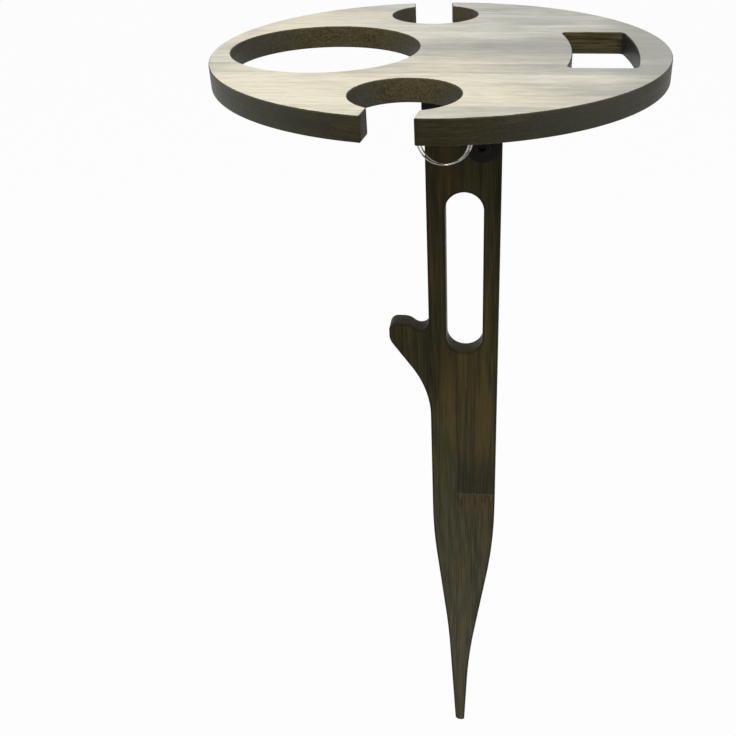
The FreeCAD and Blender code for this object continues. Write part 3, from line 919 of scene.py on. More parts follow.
@dataclass
class TopBoard:
    """Round board with a bottle hole, two glass keyholes and a hand hole.

    The outlines are worked out about the middle of the board, with +X towards the hand hole.

    Attributes:
        bottle_offset: Distance of the bottle hole from the middle.
        glass_reach: Distance of the glass holes from the middle.
        glass_angle: Angle of the glass holes from +X.
        neck_round: Radius of the corners of the necks.
        hand_start: Distance of the hand hole's inner side from the middle.
        border: Width of the flat border round each face.
        hand_side: Places along X between which the round holes give way to the hand hole.
        specks: Density of the specks on the rough walls of the round holes.
        saw_lines: Density of the lines on the sawn walls of the hand hole.
        speck_shares: Strength of the specks in the round holes and in the hand hole.
        saw_share: Strength of the saw lines.
        thin_shares: Share of thin stain in the round holes and in the hand hole.
        soak_shares: Share of grey on the end grain in the round holes and in the hand hole.
        rim_depth: Depths from the outline between which the rim gives way to the holes.
        deep_share: Share of the darkest stain on the rim.
        sheen_reach: Distances along X from the middle over which the rim greys with painted sheen.
        sheen_share: How strong that painted sheen gets.
        less_sheen_reach: Places along X over which the painted sheen weakens at the right.
        less_sheen_share: What is left of the painted sheen there.
        face_depth: Depths under the upper face between which the wash ends.
        ragged: Most that the end of the wash strays.
        rough: Roughness of the least and the greatest fibres.
        line_rough: Added roughness of the seams.
        relief: Strength and depth of the raised grain.
        rub_share: Strength of the wear on the edges.
        specular: Specular level, the same all over.
    """

    bottle_radius: float = 66.75 * MM
    bottle_offset: float = 81.6 * MM
    glass_radius: float = 34.5 * MM
    glass_reach: float = 112.6 * MM
    glass_angle: float = 96.5
    neck_width: float = 31.104 * MM
    neck_round: float = 1.2 * MM
    hand_start: float = 92.2 * MM
    hand_width: float = 44.8 * MM
    hand_length: float = 100.4 * MM
    hand_inner_radius: float = 215.0 * MM
    hand_round: float = 4.0 * MM
    edge_round: float = 1.0 * MM
    border: float = 1.1 * MM
    step: float = 1.6 * MM
    strip_width: float = 23.6 * MM
    knuckle_pitch: float = 0.90
    streak_density: float = 6.5
    patches: Triple = (9.0, 22.0, 60.0)
    hand_side: Pair = (60.0 * MM, 80.0 * MM)
    specks: Triple = (800.0, 800.0, 800.0)
    saw_lines: Triple = (24.0, 60.0, 560.0)
    speck_shares: Pair = (0.28, 0.042)
    saw_share: float = 0.30
    thin_shares: Pair = (0.36, 0.14)
    soak_shares: Pair = (0.60, 0.92)
    rim_depth: Pair = (6.0 * MM, 2.0 * MM)
    deep_share: float = 0.45
    sheen_reach: Pair = (10.0 * MM, 120.0 * MM)
    sheen_share: float = 0.65
    less_sheen_reach: Pair = (115.0 * MM, 150.0 * MM)
    less_sheen_share: float = 0.20
    face_depth: Pair = (0.16 * MM, 0.04 * MM)
    ragged: float = 0.04 * MM
    rough: Pair = (0.50, 0.40)
    line_rough: float = 0.1
    relief: Pair = (0.25, 0.15 * MM)
    rub_share: float = 0.15
    specular: float = 0.10
    stain: BambooStain = field(default_factory=BambooStain)
    wash: PaleWash = field(default_factory=PaleWash)

    def __post_init__(self) -> None:
        """Take the board's own size and place from the frame."""
        low, high = (np.array(corner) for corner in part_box("table_top"))
        self.centre = (low + high) / 2
        self.radius = (high[0] - low[0]) / 2
        self.thickness = high[2] - low[2]

    def keyhole(self, angle: float) -> Array:
        """Walk one keyhole from the rim in through its neck, round its hole and out again.

        In the keyhole's own axes, u runs outwards along the neck and v across it. The first half is
        worked out and the second is its mirror image.

        Args:
            angle: Angle of the neck about the middle of the board.

        Returns:
            Points from the start of the first mouth corner to the end of the second.
        """
        half = self.neck_width / 2
        mouth = math.asin(half / self.radius)
        throat = math.asin(half / self.glass_radius)
        hole = np.array((self.glass_reach, 0.0))
        outside = polar(np.zeros(2), self.radius, -mouth)
        inside = polar(hole, self.glass_radius, -throat)
        rim_before = outside - np.array((math.sin(mouth), math.cos(mouth)))
        hole_after = inside - np.array((math.sin(throat), math.cos(throat)))
        fine = self.neck_round / 3
        mouth_bend = corner_arc(rim_before, outside, inside, self.neck_round, fine)
        throat_bend = corner_arc(outside, inside, hole_after, self.neck_round, fine)
        trim = self.neck_round * math.tan((math.pi / 2 - throat) / 2) / self.glass_radius
        side = straight(mouth_bend[-1], throat_bend[0], self.step)
        half_hole = arc(hole, self.glass_radius, -throat - trim, -math.pi, self.step)
        first_half = np.concatenate((mouth_bend, side, throat_bend, half_hole))
        second_half = first_half[::-1] * np.array((1.0, -1.0))
        turn = math.radians(angle)
        spin = np.array(((math.cos(turn), math.sin(turn)), (-math.sin(turn), math.cos(turn))))
        return np.concatenate((first_half, second_half)) @ spin

    def outlines(self) -> list[Array]:
        """Walk every outline of the board with the wood on the left.

        Returns:
            The outer outline with its keyholes, the bottle hole and the hand hole.
        """
        middle = np.zeros(2)
        mouth = math.asin(self.neck_width / 2 / self.radius)
        trim = mouth + self.neck_round * math.tan((math.pi / 2 + mouth) / 2) / self.radius
        turn = math.radians(self.glass_angle)
        right_rim = arc(middle, self.radius, -turn + trim, turn - trim, self.step)
        left_rim = arc(middle, self.radius, turn + trim, 2.0 * math.pi - turn - trim, self.step)
        rear, front = self.keyhole(self.glass_angle), self.keyhole(-self.glass_angle)
        outer = closed(right_rim, rear, left_rim, front)
        bottle_middle = np.array((-self.bottle_offset, 0.0))
        bottle = closed(arc(bottle_middle, self.bottle_radius, 0.0, -2.0 * math.pi, self.step))
        return [outer, bottle, self.hand_hole()]

    def hand_hole(self) -> Array:
        """Walk the hand hole clockwise: two concentric arcs and two straight ends with eased corners.

        Returns:
            Points of the hole's outline.
        """
        middle = np.array((self.hand_start - self.hand_inner_radius, 0.0))
        outer = self.hand_inner_radius + self.hand_width
        half = self.hand_length / 2
        ease = self.hand_round
        far_turn = math.asin((half - ease) / (outer - ease))
        near_turn = math.asin((half - ease) / (self.hand_inner_radius + ease))
        far_corner = polar(middle, outer - ease, far_turn)
        near_corner = polar(middle, self.hand_inner_radius + ease, near_turn)
        upper = np.concatenate((
            arc(near_corner, ease, math.pi + near_turn, math.pi / 2, self.step / 3),
            arc(far_corner, ease, math.pi / 2, far_turn, self.step / 3),
        ))
        far = arc(middle, outer, far_turn, -far_turn, self.step)
        near = arc(middle, self.hand_inner_radius, -near_turn, near_turn, self.step)
        return closed(upper, far, upper[::-1] * np.array((1.0, -1.0)), near)

    def level(self, points: Array) -> Array:
        """Move rows of (u, v, height) to the board's place."""
        return points + self.centre

    def build(self) -> bpy.types.Object:
        """Make the board and let it stand for its CAD node.

        Returns:
            The board's object.
        """
        profile = eased_profile(self.thickness, self.edge_round, self.border)
        board = make_board("top_board", self.outlines(), profile, self.level)
        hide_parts("table_top")
        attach(board, Body.TOP.value)
        return board

    def cut_wall(self, graph: Graph, own: Socket, wall: Socket, even: Socket) -> Socket:
        """Colour of the walls inside the holes.

        The long grain is thinly stained, with specks in the round holes and saw lines in the hand
        hole. The end grain, whose normal runs along X, is greyer.

        Args:
            graph: Graph of the material.
            own: Place on the board about its middle.
            wall: One on the walls and zero on the faces.
            even: Colour of the stained wood.

        Returns:
            The colour socket.
        """
        x = graph.split(own)[0]
        at_hand = graph.ramp(x, *self.hand_side)
        specks = graph.ramp(graph.noise(own, self.specks, 3.0), 0.36, 0.64, -1.0, 1.0)
        speckled = graph.math("MULTIPLY", specks, graph.ramp(x, *self.hand_side, *self.speck_shares))
        lines = graph.noise(own, self.saw_lines, 2.0)
        sawn = graph.ramp(lines, 0.38, 0.62, -self.saw_share, self.saw_share)
        uneven = graph.math("ADD", speckled, graph.math("MULTIPLY", sawn, at_hand))
        cut = graph.math("ADD", uneven, graph.ramp(x, *self.hand_side, *self.thin_shares))
        long_grain = graph.mix(graph.math("MULTIPLY", wall, cut), even, self.stain.thin)
        facing = graph.split(graph.add("ShaderNodeTexCoord").outputs["Normal"])[0]
        end_grain = graph.ramp(graph.math("ABSOLUTE", facing), 0.35, 0.95)
        soaked = graph.math("MULTIPLY", end_grain, graph.ramp(x, *self.hand_side, *self.soak_shares))
        greyed = graph.mix(at_hand, self.stain.end_grain_and_sheen_grey, self.stain.slate)
        return graph.mix(graph.math("MULTIPLY", wall, soaked), long_grain, greyed)

    def rim_wall(self, graph: Graph, own: Socket, even: Socket) -> Socket:
        """Colour of the rim, with a painted grey sheen towards both sides but less at the far right.

        Args:
            graph: Graph of the material.
            own: Place on the board about its middle.
            even: Colour of the stained wood.

        Returns:
            The colour socket.
        """
        x = graph.split(own)[0]
        # Painted sheen: the rim greys towards its sides, where it is seen edge-on.
        sideways = graph.ramp(graph.math("ABSOLUTE", x), *self.sheen_reach, 0.0, self.sheen_share)
        kept = graph.ramp(x, *self.less_sheen_reach, 1.0, self.less_sheen_share)
        rim_stain = graph.mix(self.deep_share, even, self.stain.deep)
        return graph.mix(graph.math("MULTIPLY", sideways, kept), rim_stain, self.stain.end_grain_and_sheen_grey)

    def dress(self, board: bpy.types.Object, effects: Effects) -> None:
        """Give the board its washed face over stained edges and underside.

        Args:
            board: The board's object.
            effects: Shared node groups.
        """
        material, graph, shader, place = new_material("washed_bamboo")
        offset = tuple(-self.centre)
        own = graph.add("ShaderNodeVectorMath", {0: place, 1: offset}, operation="ADD").outputs[0]
        x, y, depth = graph.split(own)
        half = self.thickness / 2
        grain = {"Vector": own, "Half Depth": half, "Strip Width": self.strip_width}
        grain |= {"Knuckle Pitch": self.knuckle_pitch, "Streak Density": self.streak_density}
        wood = graph.group(effects.bamboo, grain)
        wall = graph.add("ShaderNodeAttribute", attribute_name=EDGE_ATTRIBUTE).outputs["Fac"]
        off_wall = graph.math("SUBTRACT", 1.0, wall)
        for part in ("Ridge", "Collar", "Knuckle"):
            wood[part] = graph.math("MULTIPLY", wood[part], off_wall)
        patches = graph.ramp(graph.noise(own, self.patches, 3.0), 0.3, 0.7)
        even = self.stain.colour(graph, wood, patches)
        squares = graph.math("ADD", graph.math("MULTIPLY", x, x), graph.math("MULTIPLY", y, y))
        rim_start, rim_end = (self.radius - inset for inset in self.rim_depth)
        at_rim = graph.ramp(graph.math("SQRT", squares), rim_start, rim_end)
        inside = self.cut_wall(graph, own, wall, even)
        bare = graph.mix(at_rim, inside, self.rim_wall(graph, own, even))
        edge = {"Vector": own, "Depth": depth, "Half Depth": half, "Round": self.edge_round}
        rub = graph.math("MULTIPLY", graph.group(effects.rubbed_edge, edge)["Rub"], self.rub_share)
        stained = graph.mix(rub, bare, self.stain.rubbed)
        stray = graph.ramp(wood["Fibre"], 0.0, 1.0, -self.ragged, self.ragged)
        wash_end, wash_start = (half - under for under in self.face_depth)
        face = graph.ramp(graph.math("ADD", depth, stray), wash_end, wash_start)
        shown = graph.mix(face, stained, self.wash.colour(graph, own, wood))
        graph.feed(shader.inputs["Base Color"], shown)
        fibred = graph.ramp(wood["Fibre"], 0.0, 1.0, *self.rough)
        lined = graph.math("MULTIPLY", wood["Line"], self.line_rough)
        graph.feed(shader.inputs["Roughness"], graph.math("ADD", fibred, lined))
        sunk = graph.math("MULTIPLY", wood["Line"], SUNK_LINE)
        graph.raise_up(shader, graph.math("SUBTRACT", wood["Fibre"], sunk), *self.relief)
        shader.inputs["Specular IOR Level"].default_value = self.specular
        board.data.materials.append(material)


@dataclass
class StakeBoard:
    """Flat stake with a grip slot, a foot hook, a long point and two bushed holes.

    The outline is worked out in the XZ plane and the board's thickness runs along Y.

    Attributes:
        crown_share: Place of the hook's crown, as a share of its reach.
        heel_drop: Height of the hook's nose.
        hook_slant: Angle of the hook's lower side from upright.
        left_waist: Corner at which the left edge turns in to the point.
        right_waist: The same at the right edge.
        seam_x: Place of the seam that shows on the front.
        light_middle: Middle of a lighter oval under the slot, in X and Z.
        light_reach: Half lengths of that oval.
        light_share: How much lighter it is.
        painted_shade_middle: Middle of a darker oval of painted shade at the hook's root, in X and Z.
        painted_shade_reach: Half lengths of that oval.
        painted_shade_share: How dark that painted shade is.
        scuff_and_light_reach: Heights over which the stake gets lighter towards the point, partly
            scuffing and partly painted light.
        scuff_shares: Scuffing of the least and the greatest fibres.
        point_reach: Heights over which the scuffing is less at the point.
        point_share: What is left of the scuffing at the point.
        rub_share: Strength of the wear on the edges.
        edge_shade_share: Share of the darkest stain along the edges, painted shade on their rounds.
        rough: Roughness of the least and the greatest fibres.
        scuff_rough: Added roughness of the scuffing towards the point.
        relief: Strength and depth of the raised grain.
        specular: Specular level, the same all over.
    """

    width: float = 57.4 * MM
    middle_x: float = 4.5 * MM
    top_corner_round: float = 4.0 * MM
    edge_round: float = 1.0 * MM
    border: float = 2.3 * MM
    slot_width: float = 29.9 * MM
    slot_length: float = 142.9 * MM
    slot_top: float = 623.9 * MM
    slot_x: float = 5.2 * MM
    hook_reach: float = 33.2 * MM
    hook_height: float = 507.3 * MM
    crown_share: float = 0.657
    crown_radius: float = 13.5 * MM
    crook_radius: float = 7.5 * MM
    nose_round: float = 6.5 * MM
    heel_drop: float = 16.0 * MM
    heel_round: float = 14.0 * MM
    hook_slant: float = 34.0
    blend_radius: float = 90.0 * MM
    left_shoulder: float = 280.434 * MM
    right_shoulder: float = 267.468 * MM
    shoulder_radius: float = 600.13 * MM
    left_waist: Pair = (-10.8 * MM, 146.022 * MM)
    left_waist_radius: float = 1000.03 * MM
    right_waist: Pair = (9.6 * MM, 105.784 * MM)
    right_waist_radius: float = 768.97 * MM
    tip_left: float = -4.4 * MM
    tip_right: float = 5.0 * MM
    tip_left_round: float = 5.0 * MM
    tip_right_round: float = 2.5 * MM
    seam_x: float = -1.2 * MM
    strip_width: float = 34.4 * MM
    knuckle_pitch: float = 0.54
    streak_density: float = 2.6
    patches: Triple = (7.0, 35.0, 60.0)
    light_middle: Pair = (9.0 * MM, 425.0 * MM)
    light_reach: Pair = (26.0 * MM, 75.0 * MM)
    light_share: float = 0.7
    painted_shade_middle: Pair = (-19.0 * MM, 490.0 * MM)
    painted_shade_reach: Pair = (22.0 * MM, 62.0 * MM)
    painted_shade_share: float = 0.4
    scuff_and_light_reach: Pair = (500.0 * MM, 50.0 * MM)
    scuff_shares: Pair = (0.2, 0.6)
    point_reach: Pair = (0.0, 140.0 * MM)
    point_share: float = 0.62
    rub_share: float = 0.12
    edge_shade_share: float = 0.6
    rough: Pair = (0.50, 0.38)
    scuff_rough: float = 0.25
    relief: Pair = (0.35, 0.2 * MM)
    specular: float = 0.07
    step: float = 1.6 * MM
    stain: BambooStain = field(default_factory=BambooStain)

    def __post_init__(self) -> None:
        """Take the board's thickness, the pivot and the bushes from the frame."""
        low, high = (np.array(corner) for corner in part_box("stake"))
        self.thickness = high[1] - low[1]
        self.top = high[2]
        self.left = self.middle_x - self.width / 2
        self.right = self.middle_x + self.width / 2
        self.holes = []
        for node in ("pivot_bush", "lock_bush"):
            corners = [np.array(corner)[[0, 2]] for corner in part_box(node)]
            self.holes.append((sum(corners) / 2, (corners[1][0] - corners[0][0]) / 2))
        self.pivot = self.holes[0][0]

    def hook(self) -> Array:
        """Walk the upper side of the foot hook, from the stake's edge to the top of the nose.

        The crook and the crown are two arcs that touch: their centres lie the sum of their radii apart.

        Returns:
            Points of the crook and the crown.
        """
        crown_x = self.left - self.crown_share * self.hook_reach
        crown = np.array((crown_x, self.hook_height - self.crown_radius))
        crook_x = self.left - self.crook_radius
        rise = math.sqrt((self.crook_radius + self.crown_radius) ** 2 - (crook_x - crown_x) ** 2)
        crook = np.array((crook_x, crown[1] + rise))
        to_crown = math.atan2(*(crown - crook)[::-1])
        return np.concatenate((
            arc(crook, self.crook_radius, 0.0, to_crown, self.step / 2),
            arc(crown, self.crown_radius, to_crown + math.pi, math.pi / 2, self.step / 2),
        ))

    def outline(self) -> Array:
        """Walk the stake anticlockwise, seen from the front: down its left edge and up its right one.

        Returns:
            Points of the outline.
        """
        swing = self.top - self.pivot[1]
        right_rise = math.sqrt(swing ** 2 - (self.right - self.pivot[0]) ** 2)
        right_top = np.array((self.right, self.pivot[1] + right_rise))
        crown = self.pivot + np.array((0.0, swing))
        crown_turn = math.atan2(right_rise, self.right - self.pivot[0])
        hook = self.hook()
        nose_x = self.left - self.hook_reach
        heel = self.hook_height - self.heel_drop
        foot = heel - self.hook_reach / math.tan(math.radians(self.hook_slant))
        top_run = eased_run([
            (crown, 0.0),
            (np.array((self.left, self.top)), self.top_corner_round),
            (hook[0], 0.0),
        ], self.step)
        point_run = eased_run([
            (hook[-1], 0.0),
            (np.array((nose_x, self.hook_height)), self.nose_round),
            (np.array((nose_x, heel)), self.heel_round),
            (np.array((self.left, foot)), self.blend_radius),
            (np.array((self.left, self.left_shoulder)), self.shoulder_radius),
            (np.array(self.left_waist), self.left_waist_radius),
            (np.array((self.tip_left, 0.0)), self.tip_left_round),
            (np.array((self.tip_right, 0.0)), self.tip_right_round),
            (np.array(self.right_waist), self.right_waist_radius),
            (np.array((self.right, self.right_shoulder)), self.shoulder_radius),
            (right_top, 0.0),
        ], self.step)
        crown_arc = arc(self.pivot, swing, crown_turn, math.pi / 2, self.step)
        return closed(top_run, hook, point_run, crown_arc)

    def grip_slot(self) -> Array:
        """Walk the grip slot clockwise: two half circles joined by straight sides.

        Returns:
            Points of the slot's outline.
        """
        radius = self.slot_width / 2
        high = np.array((self.slot_x, self.slot_top - radius))
        low = np.array((self.slot_x, self.slot_top - self.slot_length + radius))
        upper = arc(high, radius, math.pi, 0.0, self.step)
        lower = arc(low, radius, 0.0, -math.pi, self.step)
        side = straight(upper[-1], lower[0], self.step)
        return closed(upper, side, lower, straight(lower[-1], upper[0], self.step))

    @staticmethod
    def upright(points: Array) -> Array:
        """Stand rows of (u, v, height) up: u is X, v is Z and the height runs to the front."""
        return points[:, [0, 2, 1]] * np.array((1.0, -1.0, 1.0))

    def build(self) -> bpy.types.Object:
        """Make the stake and let it stand for its CAD node.

        Returns:
            The stake's object.
        """
        loops = [self.outline(), self.grip_slot()]
        for middle, radius in self.holes:
            loops.append(closed(arc(middle, radius, 0.0, -2.0 * math.pi, self.step / 3)))
        profile = eased_profile(self.thickness, self.edge_round, self.border)
        board = make_board("stake_board", loops, profile, self.upright)
        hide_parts("stake")
        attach(board, Body.STAKE.value)
        return board

    def dress(self, board: bpy.types.Object, effects: Effects) -> None:
        """Give the stake its stain, with the grain upright, lighter towards the point with wear and
        painted light, and with painted shade at the hook's root and along the edges.

        Args:
            board: The stake's object.
            effects: Shared node groups.
        """
        material, graph, shader, place = new_material("stained_bamboo")
        x, y, z = graph.split(place)
        own = graph.join(z, graph.math("SUBTRACT", x, self.seam_x), y)
        half = self.thickness / 2
        grain = {"Vector": own, "Half Depth": half, "Strip Width": self.strip_width}
        grain |= {"Knuckle Pitch": self.knuckle_pitch, "Streak Density": self.streak_density}
        wood = graph.group(effects.bamboo, grain)
        slow = graph.ramp(graph.noise(own, self.patches, 3.0), 0.3, 0.7)
        light_oval = graph.oval((x, z), self.light_middle, self.light_reach)
        light = graph.ramp(light_oval, 0.1, 1.0, self.light_share, 0.0)
        # Painted shade: a darker oval at the hook's root, under the table top.
        painted_shade_oval = graph.oval((x, z), self.painted_shade_middle, self.painted_shade_reach)
        dark = graph.ramp(painted_shade_oval, 0.1, 1.0, self.painted_shade_share, 0.0)
        stained = self.stain.colour(graph, wood, graph.math("ADD", slow, light))
        with_painted_shade = graph.mix(dark, stained, self.stain.deep)
        edge = {"Vector": own, "Depth": y, "Half Depth": half, "Round": self.edge_round}
        rub = graph.math("MULTIPLY", graph.group(effects.rubbed_edge, edge)["Rub"], self.rub_share)
        # Lighter towards the point: partly scuffing, partly painted light.
        at_point = graph.ramp(z, *self.point_reach, self.point_share, 1.0)
        scuff_and_light_downward = graph.math("MULTIPLY", graph.ramp(z, *self.scuff_and_light_reach), at_point)
        fibres = graph.ramp(wood["Fibre"], 0.0, 1.0, *self.scuff_shares)
        scuffed_and_lit = graph.math("MULTIPLY", scuff_and_light_downward, fibres)
        worn = graph.mix(graph.math("MAXIMUM", rub, scuffed_and_lit), with_painted_shade, self.stain.rubbed)
        # Painted shade: the darkest stain laid along the rounded edges.
        border = graph.add("ShaderNodeAttribute", attribute_name=EDGE_ATTRIBUTE).outputs["Fac"]
        painted_edge_shade = graph.math("MULTIPLY", graph.ramp(border, 0.1, 0.9), self.edge_shade_share)
        graph.feed(shader.inputs["Base Color"], graph.mix(painted_edge_shade, worn, self.stain.deep))
        fibred = graph.ramp(wood["Fibre"], 0.0, 1.0, *self.rough)
        scoured = graph.math("MULTIPLY", scuffed_and_lit, self.scuff_rough)
        graph.feed(shader.inputs["Roughness"], graph.math("ADD", fibred, scoured))
        sunk = graph.math("MULTIPLY", wood["Line"], SUNK_LINE)
        graph.raise_up(shader, graph.math("SUBTRACT", wood["Fibre"], sunk), *self.relief)
        shader.inputs["Specular IOR Level"].default_value = self.specular
        board.data.materials.append(material)


@dataclass
class PullRing:
    """Split ring of two turns of round wire that lie side by side and change over in the pin's eye.

    Attributes:
        turn_step: Distance along Y between the middles of the two turns.
        turn_shift: Distance along X between them, because the turns are a little out of line.
        crossing: Angle over which the wire steps from the first turn to the second.
        first_end: Angle of the wire's first end from the bottom of the ring.
    """

    mean_radius: float = 18.3 * MM
    wire_radius: float = 0.65 * MM
    turn_step: float = 1.65 * MM
    turn_shift: float = 2.0 * MM
    crossing: float = 40.0
    first_end: float = 200.0
    rows_per_turn: int = 120
    columns: int = 16
    end_chamfer: float = 0.25 * MM

    def __post_init__(self) -> None:
        """Take the ring's middle from the frame."""
        low, high = (np.array(corner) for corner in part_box("pull_ring"))
        self.middle = (low + high) / 2

    def surface(self) -> Array:
        """Carry a circle along the wire.

        At angle t from the bottom the middle of the wire is at (-R sin t, 0, -R cos t), moved by s - 1/2
        times the shift along X and the step along Y. The share s rises smoothly from 0 to 1 over the
        crossing that ends the first turn, and the wire stops one crossing short of two turns. The circle
        lies square to the tangent, and a narrower row past each end is the chamfer of the cut.

        Returns:
            Grid of points, path by circle by axis.
        """
        full = 2.0 * math.pi
        gap = math.radians(self.crossing)
        turn = np.linspace(0.0, 2.0 * full - gap, 2 * self.rows_per_turn + 1)
        turn = np.concatenate((turn[:1], turn, turn[-1:]))
        share = np.clip((turn - full + gap) / gap, 0.0, 1.0)[:, None]
        between = np.array((self.turn_shift, self.turn_step, 0.0))
        sideways = between * (share * share * (3.0 - 2.0 * share) - 0.5)
        slope = between * 6.0 * share * (1.0 - share) / gap
        angle = turn + math.radians(self.first_end)
        zero = np.zeros_like(angle)
        outward = np.stack((-np.sin(angle), zero, -np.cos(angle)), axis=1)
        ahead = self.mean_radius * np.stack((-np.cos(angle), zero, np.sin(angle)), axis=1)
        tangent = ahead + slope
        tangent /= np.linalg.norm(tangent, axis=1, keepdims=True)
        line = self.middle + self.mean_radius * outward + sideways
        line[0] -= tangent[0] * self.end_chamfer
        line[-1] += tangent[-1] * self.end_chamfer
        radius = np.full(len(turn), self.wire_radius)
        radius[[0, -1]] -= self.end_chamfer
        around = np.linspace(0.0, full, self.columns, endpoint=False)[None, :, None]
        across = np.cross(tangent, outward)
        across /= np.linalg.norm(across, axis=1, keepdims=True)
        square = np.cross(across, tangent)
        circle = square[:, None, :] * np.cos(around) + across[:, None, :] * np.sin(around)
        return line[:, None, :] + circle * radius[:, None, None]

    def build(self) -> bpy.types.Object:
        """Make the ring and let it stand for its CAD node.

        Returns:
            The ring's object.
        """
        grid = self.surface()
        rows, columns = grid.shape[:2]
        walls = band_faces(rows, columns, 0, ring=False)[:, ::-1]
        first_end = list(range(columns))
        last_end = list(range((rows - 1) * columns, rows * columns))[::-1]
        ring = make_object("ring_wire", grid.reshape(-1, 3), walls, [first_end, last_end])
        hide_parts("pull_ring")
        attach(ring, Body.RING.value)
        return ring


@dataclass(frozen=True)
class Hardware:
    """Finishes of the steel, bronze and nylon pieces that keep their CAD shapes."""

    powder: MetalFinish = MetalFinish(
        name="black_powder_coat",
        base=(0.0065, 0.0060, 0.0045),
        cloud_and_reflection=(0.010, 0.009, 0.007),
        metallic=0.0,
        rough=0.42,
        rougher=0.58,
        bump=0.10 * MM,
        specular=0.10,
    )
    oxide: MetalFinish = MetalFinish(
        name="black_oxide",
        base=(0.0065, 0.0060, 0.0045),
        cloud_and_reflection=(0.010, 0.009, 0.007),
        metallic=0.0,
        rough=0.44,
        rougher=0.60,
        bump=0.03 * MM,
        specular=0.08,
    )
    zinc: MetalFinish = MetalFinish(
        name="bright_zinc",
        base=(0.60, 0.61, 0.63),
        cloud_and_reflection=(0.50, 0.52, 0.56),
        metallic=1.0,
        rough=0.24,
        rougher=0.42,
        bump=0.03 * MM,
    )
    bronze: MetalFinish = MetalFinish(
        name="turned_bronze",
        base=(0.55, 0.36, 0.15),
        cloud_and_reflection=(0.42, 0.27, 0.11),
        metallic=1.0,
        rough=0.30,
        rougher=0.48,
        bump=0.03 * MM,
    )
    nylon: MetalFinish = MetalFinish(
        name="natural_nylon",
        base=(0.72, 0.70, 0.64),
        cloud_and_reflection=(0.64, 0.62, 0.56),
        metallic=0.0,
        rough=0.42,
        rougher=0.55,
        bump=0.02 * MM,
    )
    # The ring's dark cloudy patches are painted reflections.
    painted_reflection_nickel: MetalFinish = MetalFinish(
        name="nickel_with_painted_reflections",
        base=(0.56, 0.54, 0.49),
        cloud_and_reflection=(0.10, 0.095, 0.085),
        metallic=1.0,
        rough=0.08,
        rougher=0.22,
        bump=0.01 * MM,
    )

    def dress(self, frame: dict[str, Any], ring: bpy.types.Object, effects: Effects) -> None:
        """Give each kept CAD node and the ring its finish.

        Args:
            ring: The new pull ring.
            effects: Shared node groups.
        """
        wanted = {
            self.powder: ("front_bracket", "rear_bracket", "pin_guide"),
            self.oxide: ("pivot_bolt", "lock_pin"),
            self.zinc: ("bracket_screws", "pivot_washer", "pivot_nut"),
            self.bronze: ("pivot_bush", "lock_bush"),
            self.nylon: ("friction_washers",),
        }
        for finish, names in wanted.items():
            material = finish.material(effects)
            for name in names:
                for slot in frame["nodes"][name].material_slots:
                    slot.material = material
                LOG.info("%s keeps its CAD shape in %s", name, finish.name)
        ring.data.materials.append(self.painted_reflection_nickel.material(effects))


@dataclass(frozen=True)
class Lamp:
    """A soft square lamp that points at the table.

    Attributes:
        name: Name of the lamp.
        place: Where it hangs.
        target: The point that it faces.
        side: Length of its sides.
        power: Power in watts.
    """

    name: str
    place: Triple
    target: Triple
    side: float
    power: float

    def hang(self) -> None:
        """Add the lamp to the scene."""
        light = bpy.data.lights.new(self.name, "AREA")
        light.shape = "SQUARE"
        light.size = self.side
        light.energy = self.power
        lamp = bpy.data.objects.new(self.name, light)
        aim = Vector(self.target) - Vector(self.place)
        turn = aim.to_track_quat("-Z", "Y").to_matrix().to_4x4()
        lamp.matrix_world = Matrix.Translation(self.place) @ turn
        bpy.context.scene.collection.objects.link(lamp)


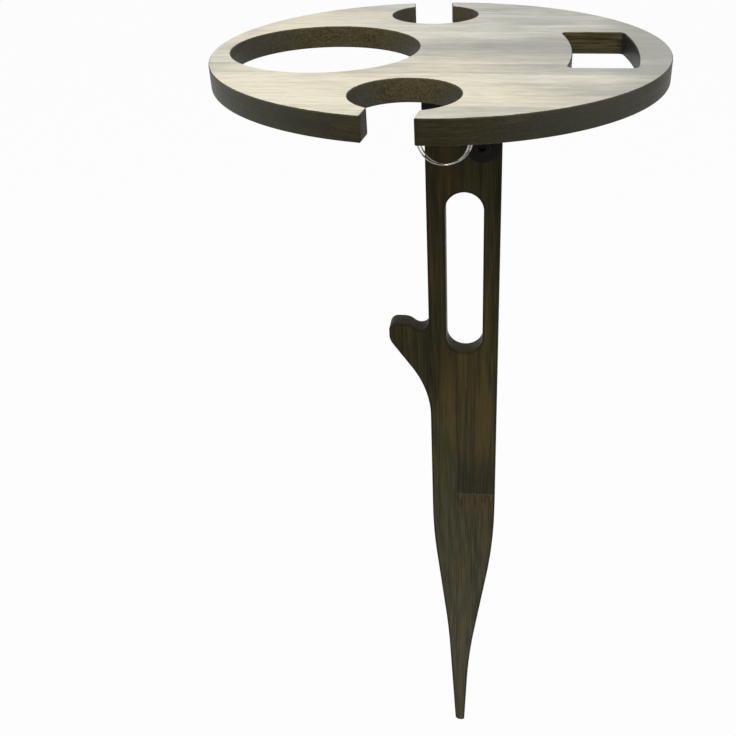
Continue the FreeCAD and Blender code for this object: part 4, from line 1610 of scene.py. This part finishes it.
@dataclass(frozen=True)
class Studio:
    """Pale floor, white surroundings, soft lamps and the photograph's camera.

    The camera is a pinhole: yaw turns it from +Y towards +X, pitch tips it down and roll turns it about
    its axis. Pixel values are in the photograph's square frame.

    Attributes:
        axis_px: Where the camera's axis meets the picture.
        nearest: Nearest distance that the camera sees.
        ambient: Strength of the light from all round.
        floor_white: Share of white in what is seen of the floor.
        floor_grey: Grey of the floor, as it lights the table.
        floor_rough: Roughness of the floor.
    """

    frame_px: float = 736.0
    focal_px: float = 902.3
    axis_px: Pair = (440.9, 328.5)
    eye: Triple = (0.04054, -0.64530, 0.88441)
    yaw: float = -4.902
    pitch: float = 30.739
    roll: float = -0.887
    sensor_mm: float = 36.0
    nearest: float = 10.0 * MM
    floor_half: float = 9.0
    ambient: float = 0.30
    floor_white: float = 0.97
    floor_grey: float = 0.62
    floor_rough: float = 0.9
    lamps: tuple[Lamp, ...] = (
        Lamp("key_softbox", (-0.60, -1.05, 2.25), (-0.02, -0.02, 0.45), 0.8, 20.0),
        Lamp("fill_softbox", (0.75, -1.05, 2.15), (-0.02, -0.02, 0.45), 0.8, 12.0),
    )

    def set_up(self) -> None:
        """Build the whole studio."""
        self.lay_floor()
        self.light_world()
        for lamp in self.lamps:
            lamp.hang()
        self.place_camera()
        bpy.context.scene.view_settings.view_transform = "Standard"

    @staticmethod
    def seen_directly(graph: Graph) -> Socket:
        """Tell the rays that show a surface from those that light the object.

        Args:
            graph: Graph of the material or the world.

        Returns:
            One for rays from the camera, mirrors and glass, zero for the others.
        """
        rays = graph.add("ShaderNodeLightPath").outputs
        mirror = graph.math("MAXIMUM", rays["Is Glossy Ray"], rays["Is Transmission Ray"])
        return graph.math("MAXIMUM", rays["Is Camera Ray"], mirror)

    def lay_floor(self) -> None:
        """Lay a square floor at the stake's point, white to the eye but with the table's shadow."""
        reach = self.floor_half * np.array((-1.0, 1.0))
        corners = np.stack(np.meshgrid(reach, reach, [0.0]), axis=-1).reshape(-1, 3)
        floor = make_object("floor", corners, np.zeros((0, 4), int), [[0, 1, 3, 2]])
        material, graph, shader, _ = new_material("pale_floor")
        graph.feed(shader.inputs["Base Color"], (self.floor_grey,) * 3)
        shader.inputs["Roughness"].default_value = self.floor_rough
        shader.inputs["Specular IOR Level"].default_value = 0.0
        glow = graph.add("ShaderNodeEmission", {"Color": WHITE, "Strength": 1.0}).outputs[0]
        share = graph.math("MULTIPLY", self.seen_directly(graph), self.floor_white)
        seen = graph.add("ShaderNodeMixShader", {0: share, 1: shader.outputs[0], 2: glow}).outputs[0]
        graph.feed(material.node_tree.nodes["Material Output"].inputs["Surface"], seen)
        floor.data.materials.append(material)

    def light_world(self) -> None:
        """Soft even light from all round, white where it is seen directly."""
        world = bpy.data.worlds.new("white_room")
        bpy.context.scene.world = world
        world.use_nodes = True
        graph = Graph(world.node_tree)
        soft = world.node_tree.nodes["Background"]
        graph.feed(soft.inputs["Color"], WHITE)
        soft.inputs["Strength"].default_value = self.ambient
        white = graph.add("ShaderNodeBackground", {"Color": WHITE, "Strength": 1.0}).outputs[0]
        inputs = {0: self.seen_directly(graph), 1: soft.outputs[0], 2: white}
        shown = graph.add("ShaderNodeMixShader", inputs).outputs[0]
        graph.feed(world.node_tree.nodes["World Output"].inputs["Surface"], shown)

    def place_camera(self) -> None:
        """Place the photograph's camera."""
        yaw, pitch, roll = (math.radians(angle) for angle in (self.yaw, self.pitch, self.roll))
        level = Vector((math.sin(yaw), math.cos(yaw), 0.0)) * math.cos(pitch)
        ahead = level + Vector((0.0, 0.0, -math.sin(pitch)))
        across = Vector((math.cos(yaw), -math.sin(yaw), 0.0))
        upright = across.cross(ahead)
        right = across * math.cos(roll) + upright * math.sin(roll)
        up = upright * math.cos(roll) - across * math.sin(roll)
        lens = bpy.data.cameras.new("photo_camera")
        lens.sensor_width = self.sensor_mm
        lens.lens = self.focal_px / self.frame_px * self.sensor_mm
        lens.shift_x = 0.5 - self.axis_px[0] / self.frame_px
        lens.shift_y = self.axis_px[1] / self.frame_px - 0.5
        lens.clip_start = self.nearest
        camera = bpy.data.objects.new("photo_camera", lens)
        turn = Matrix((right, up, -ahead)).transposed().to_4x4()
        camera.matrix_world = Matrix.Translation(self.eye) @ turn
        bpy.context.scene.collection.objects.link(camera)
        bpy.context.scene.camera = camera


def main() -> None:
    """Build and dress the table, set up the studio and log the face counts."""
    logging.basicConfig(level=logging.INFO, format="%(name)s: %(message)s")
    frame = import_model()
    effects = Effects()
    top, stake, ring = TopBoard(), StakeBoard(), PullRing()
    for assembly in (top, stake):
        board = assembly.build()
        assembly.dress(board, effects)
        LOG.info("%s has %d faces", board.name, len(board.data.polygons))
    ring_wire = ring.build()
    LOG.info("%s has %d faces", ring_wire.name, len(ring_wire.data.polygons))
    Hardware().dress(frame, ring_wire, effects)
    Studio().set_up()


if __name__ == "__main__":
    main()
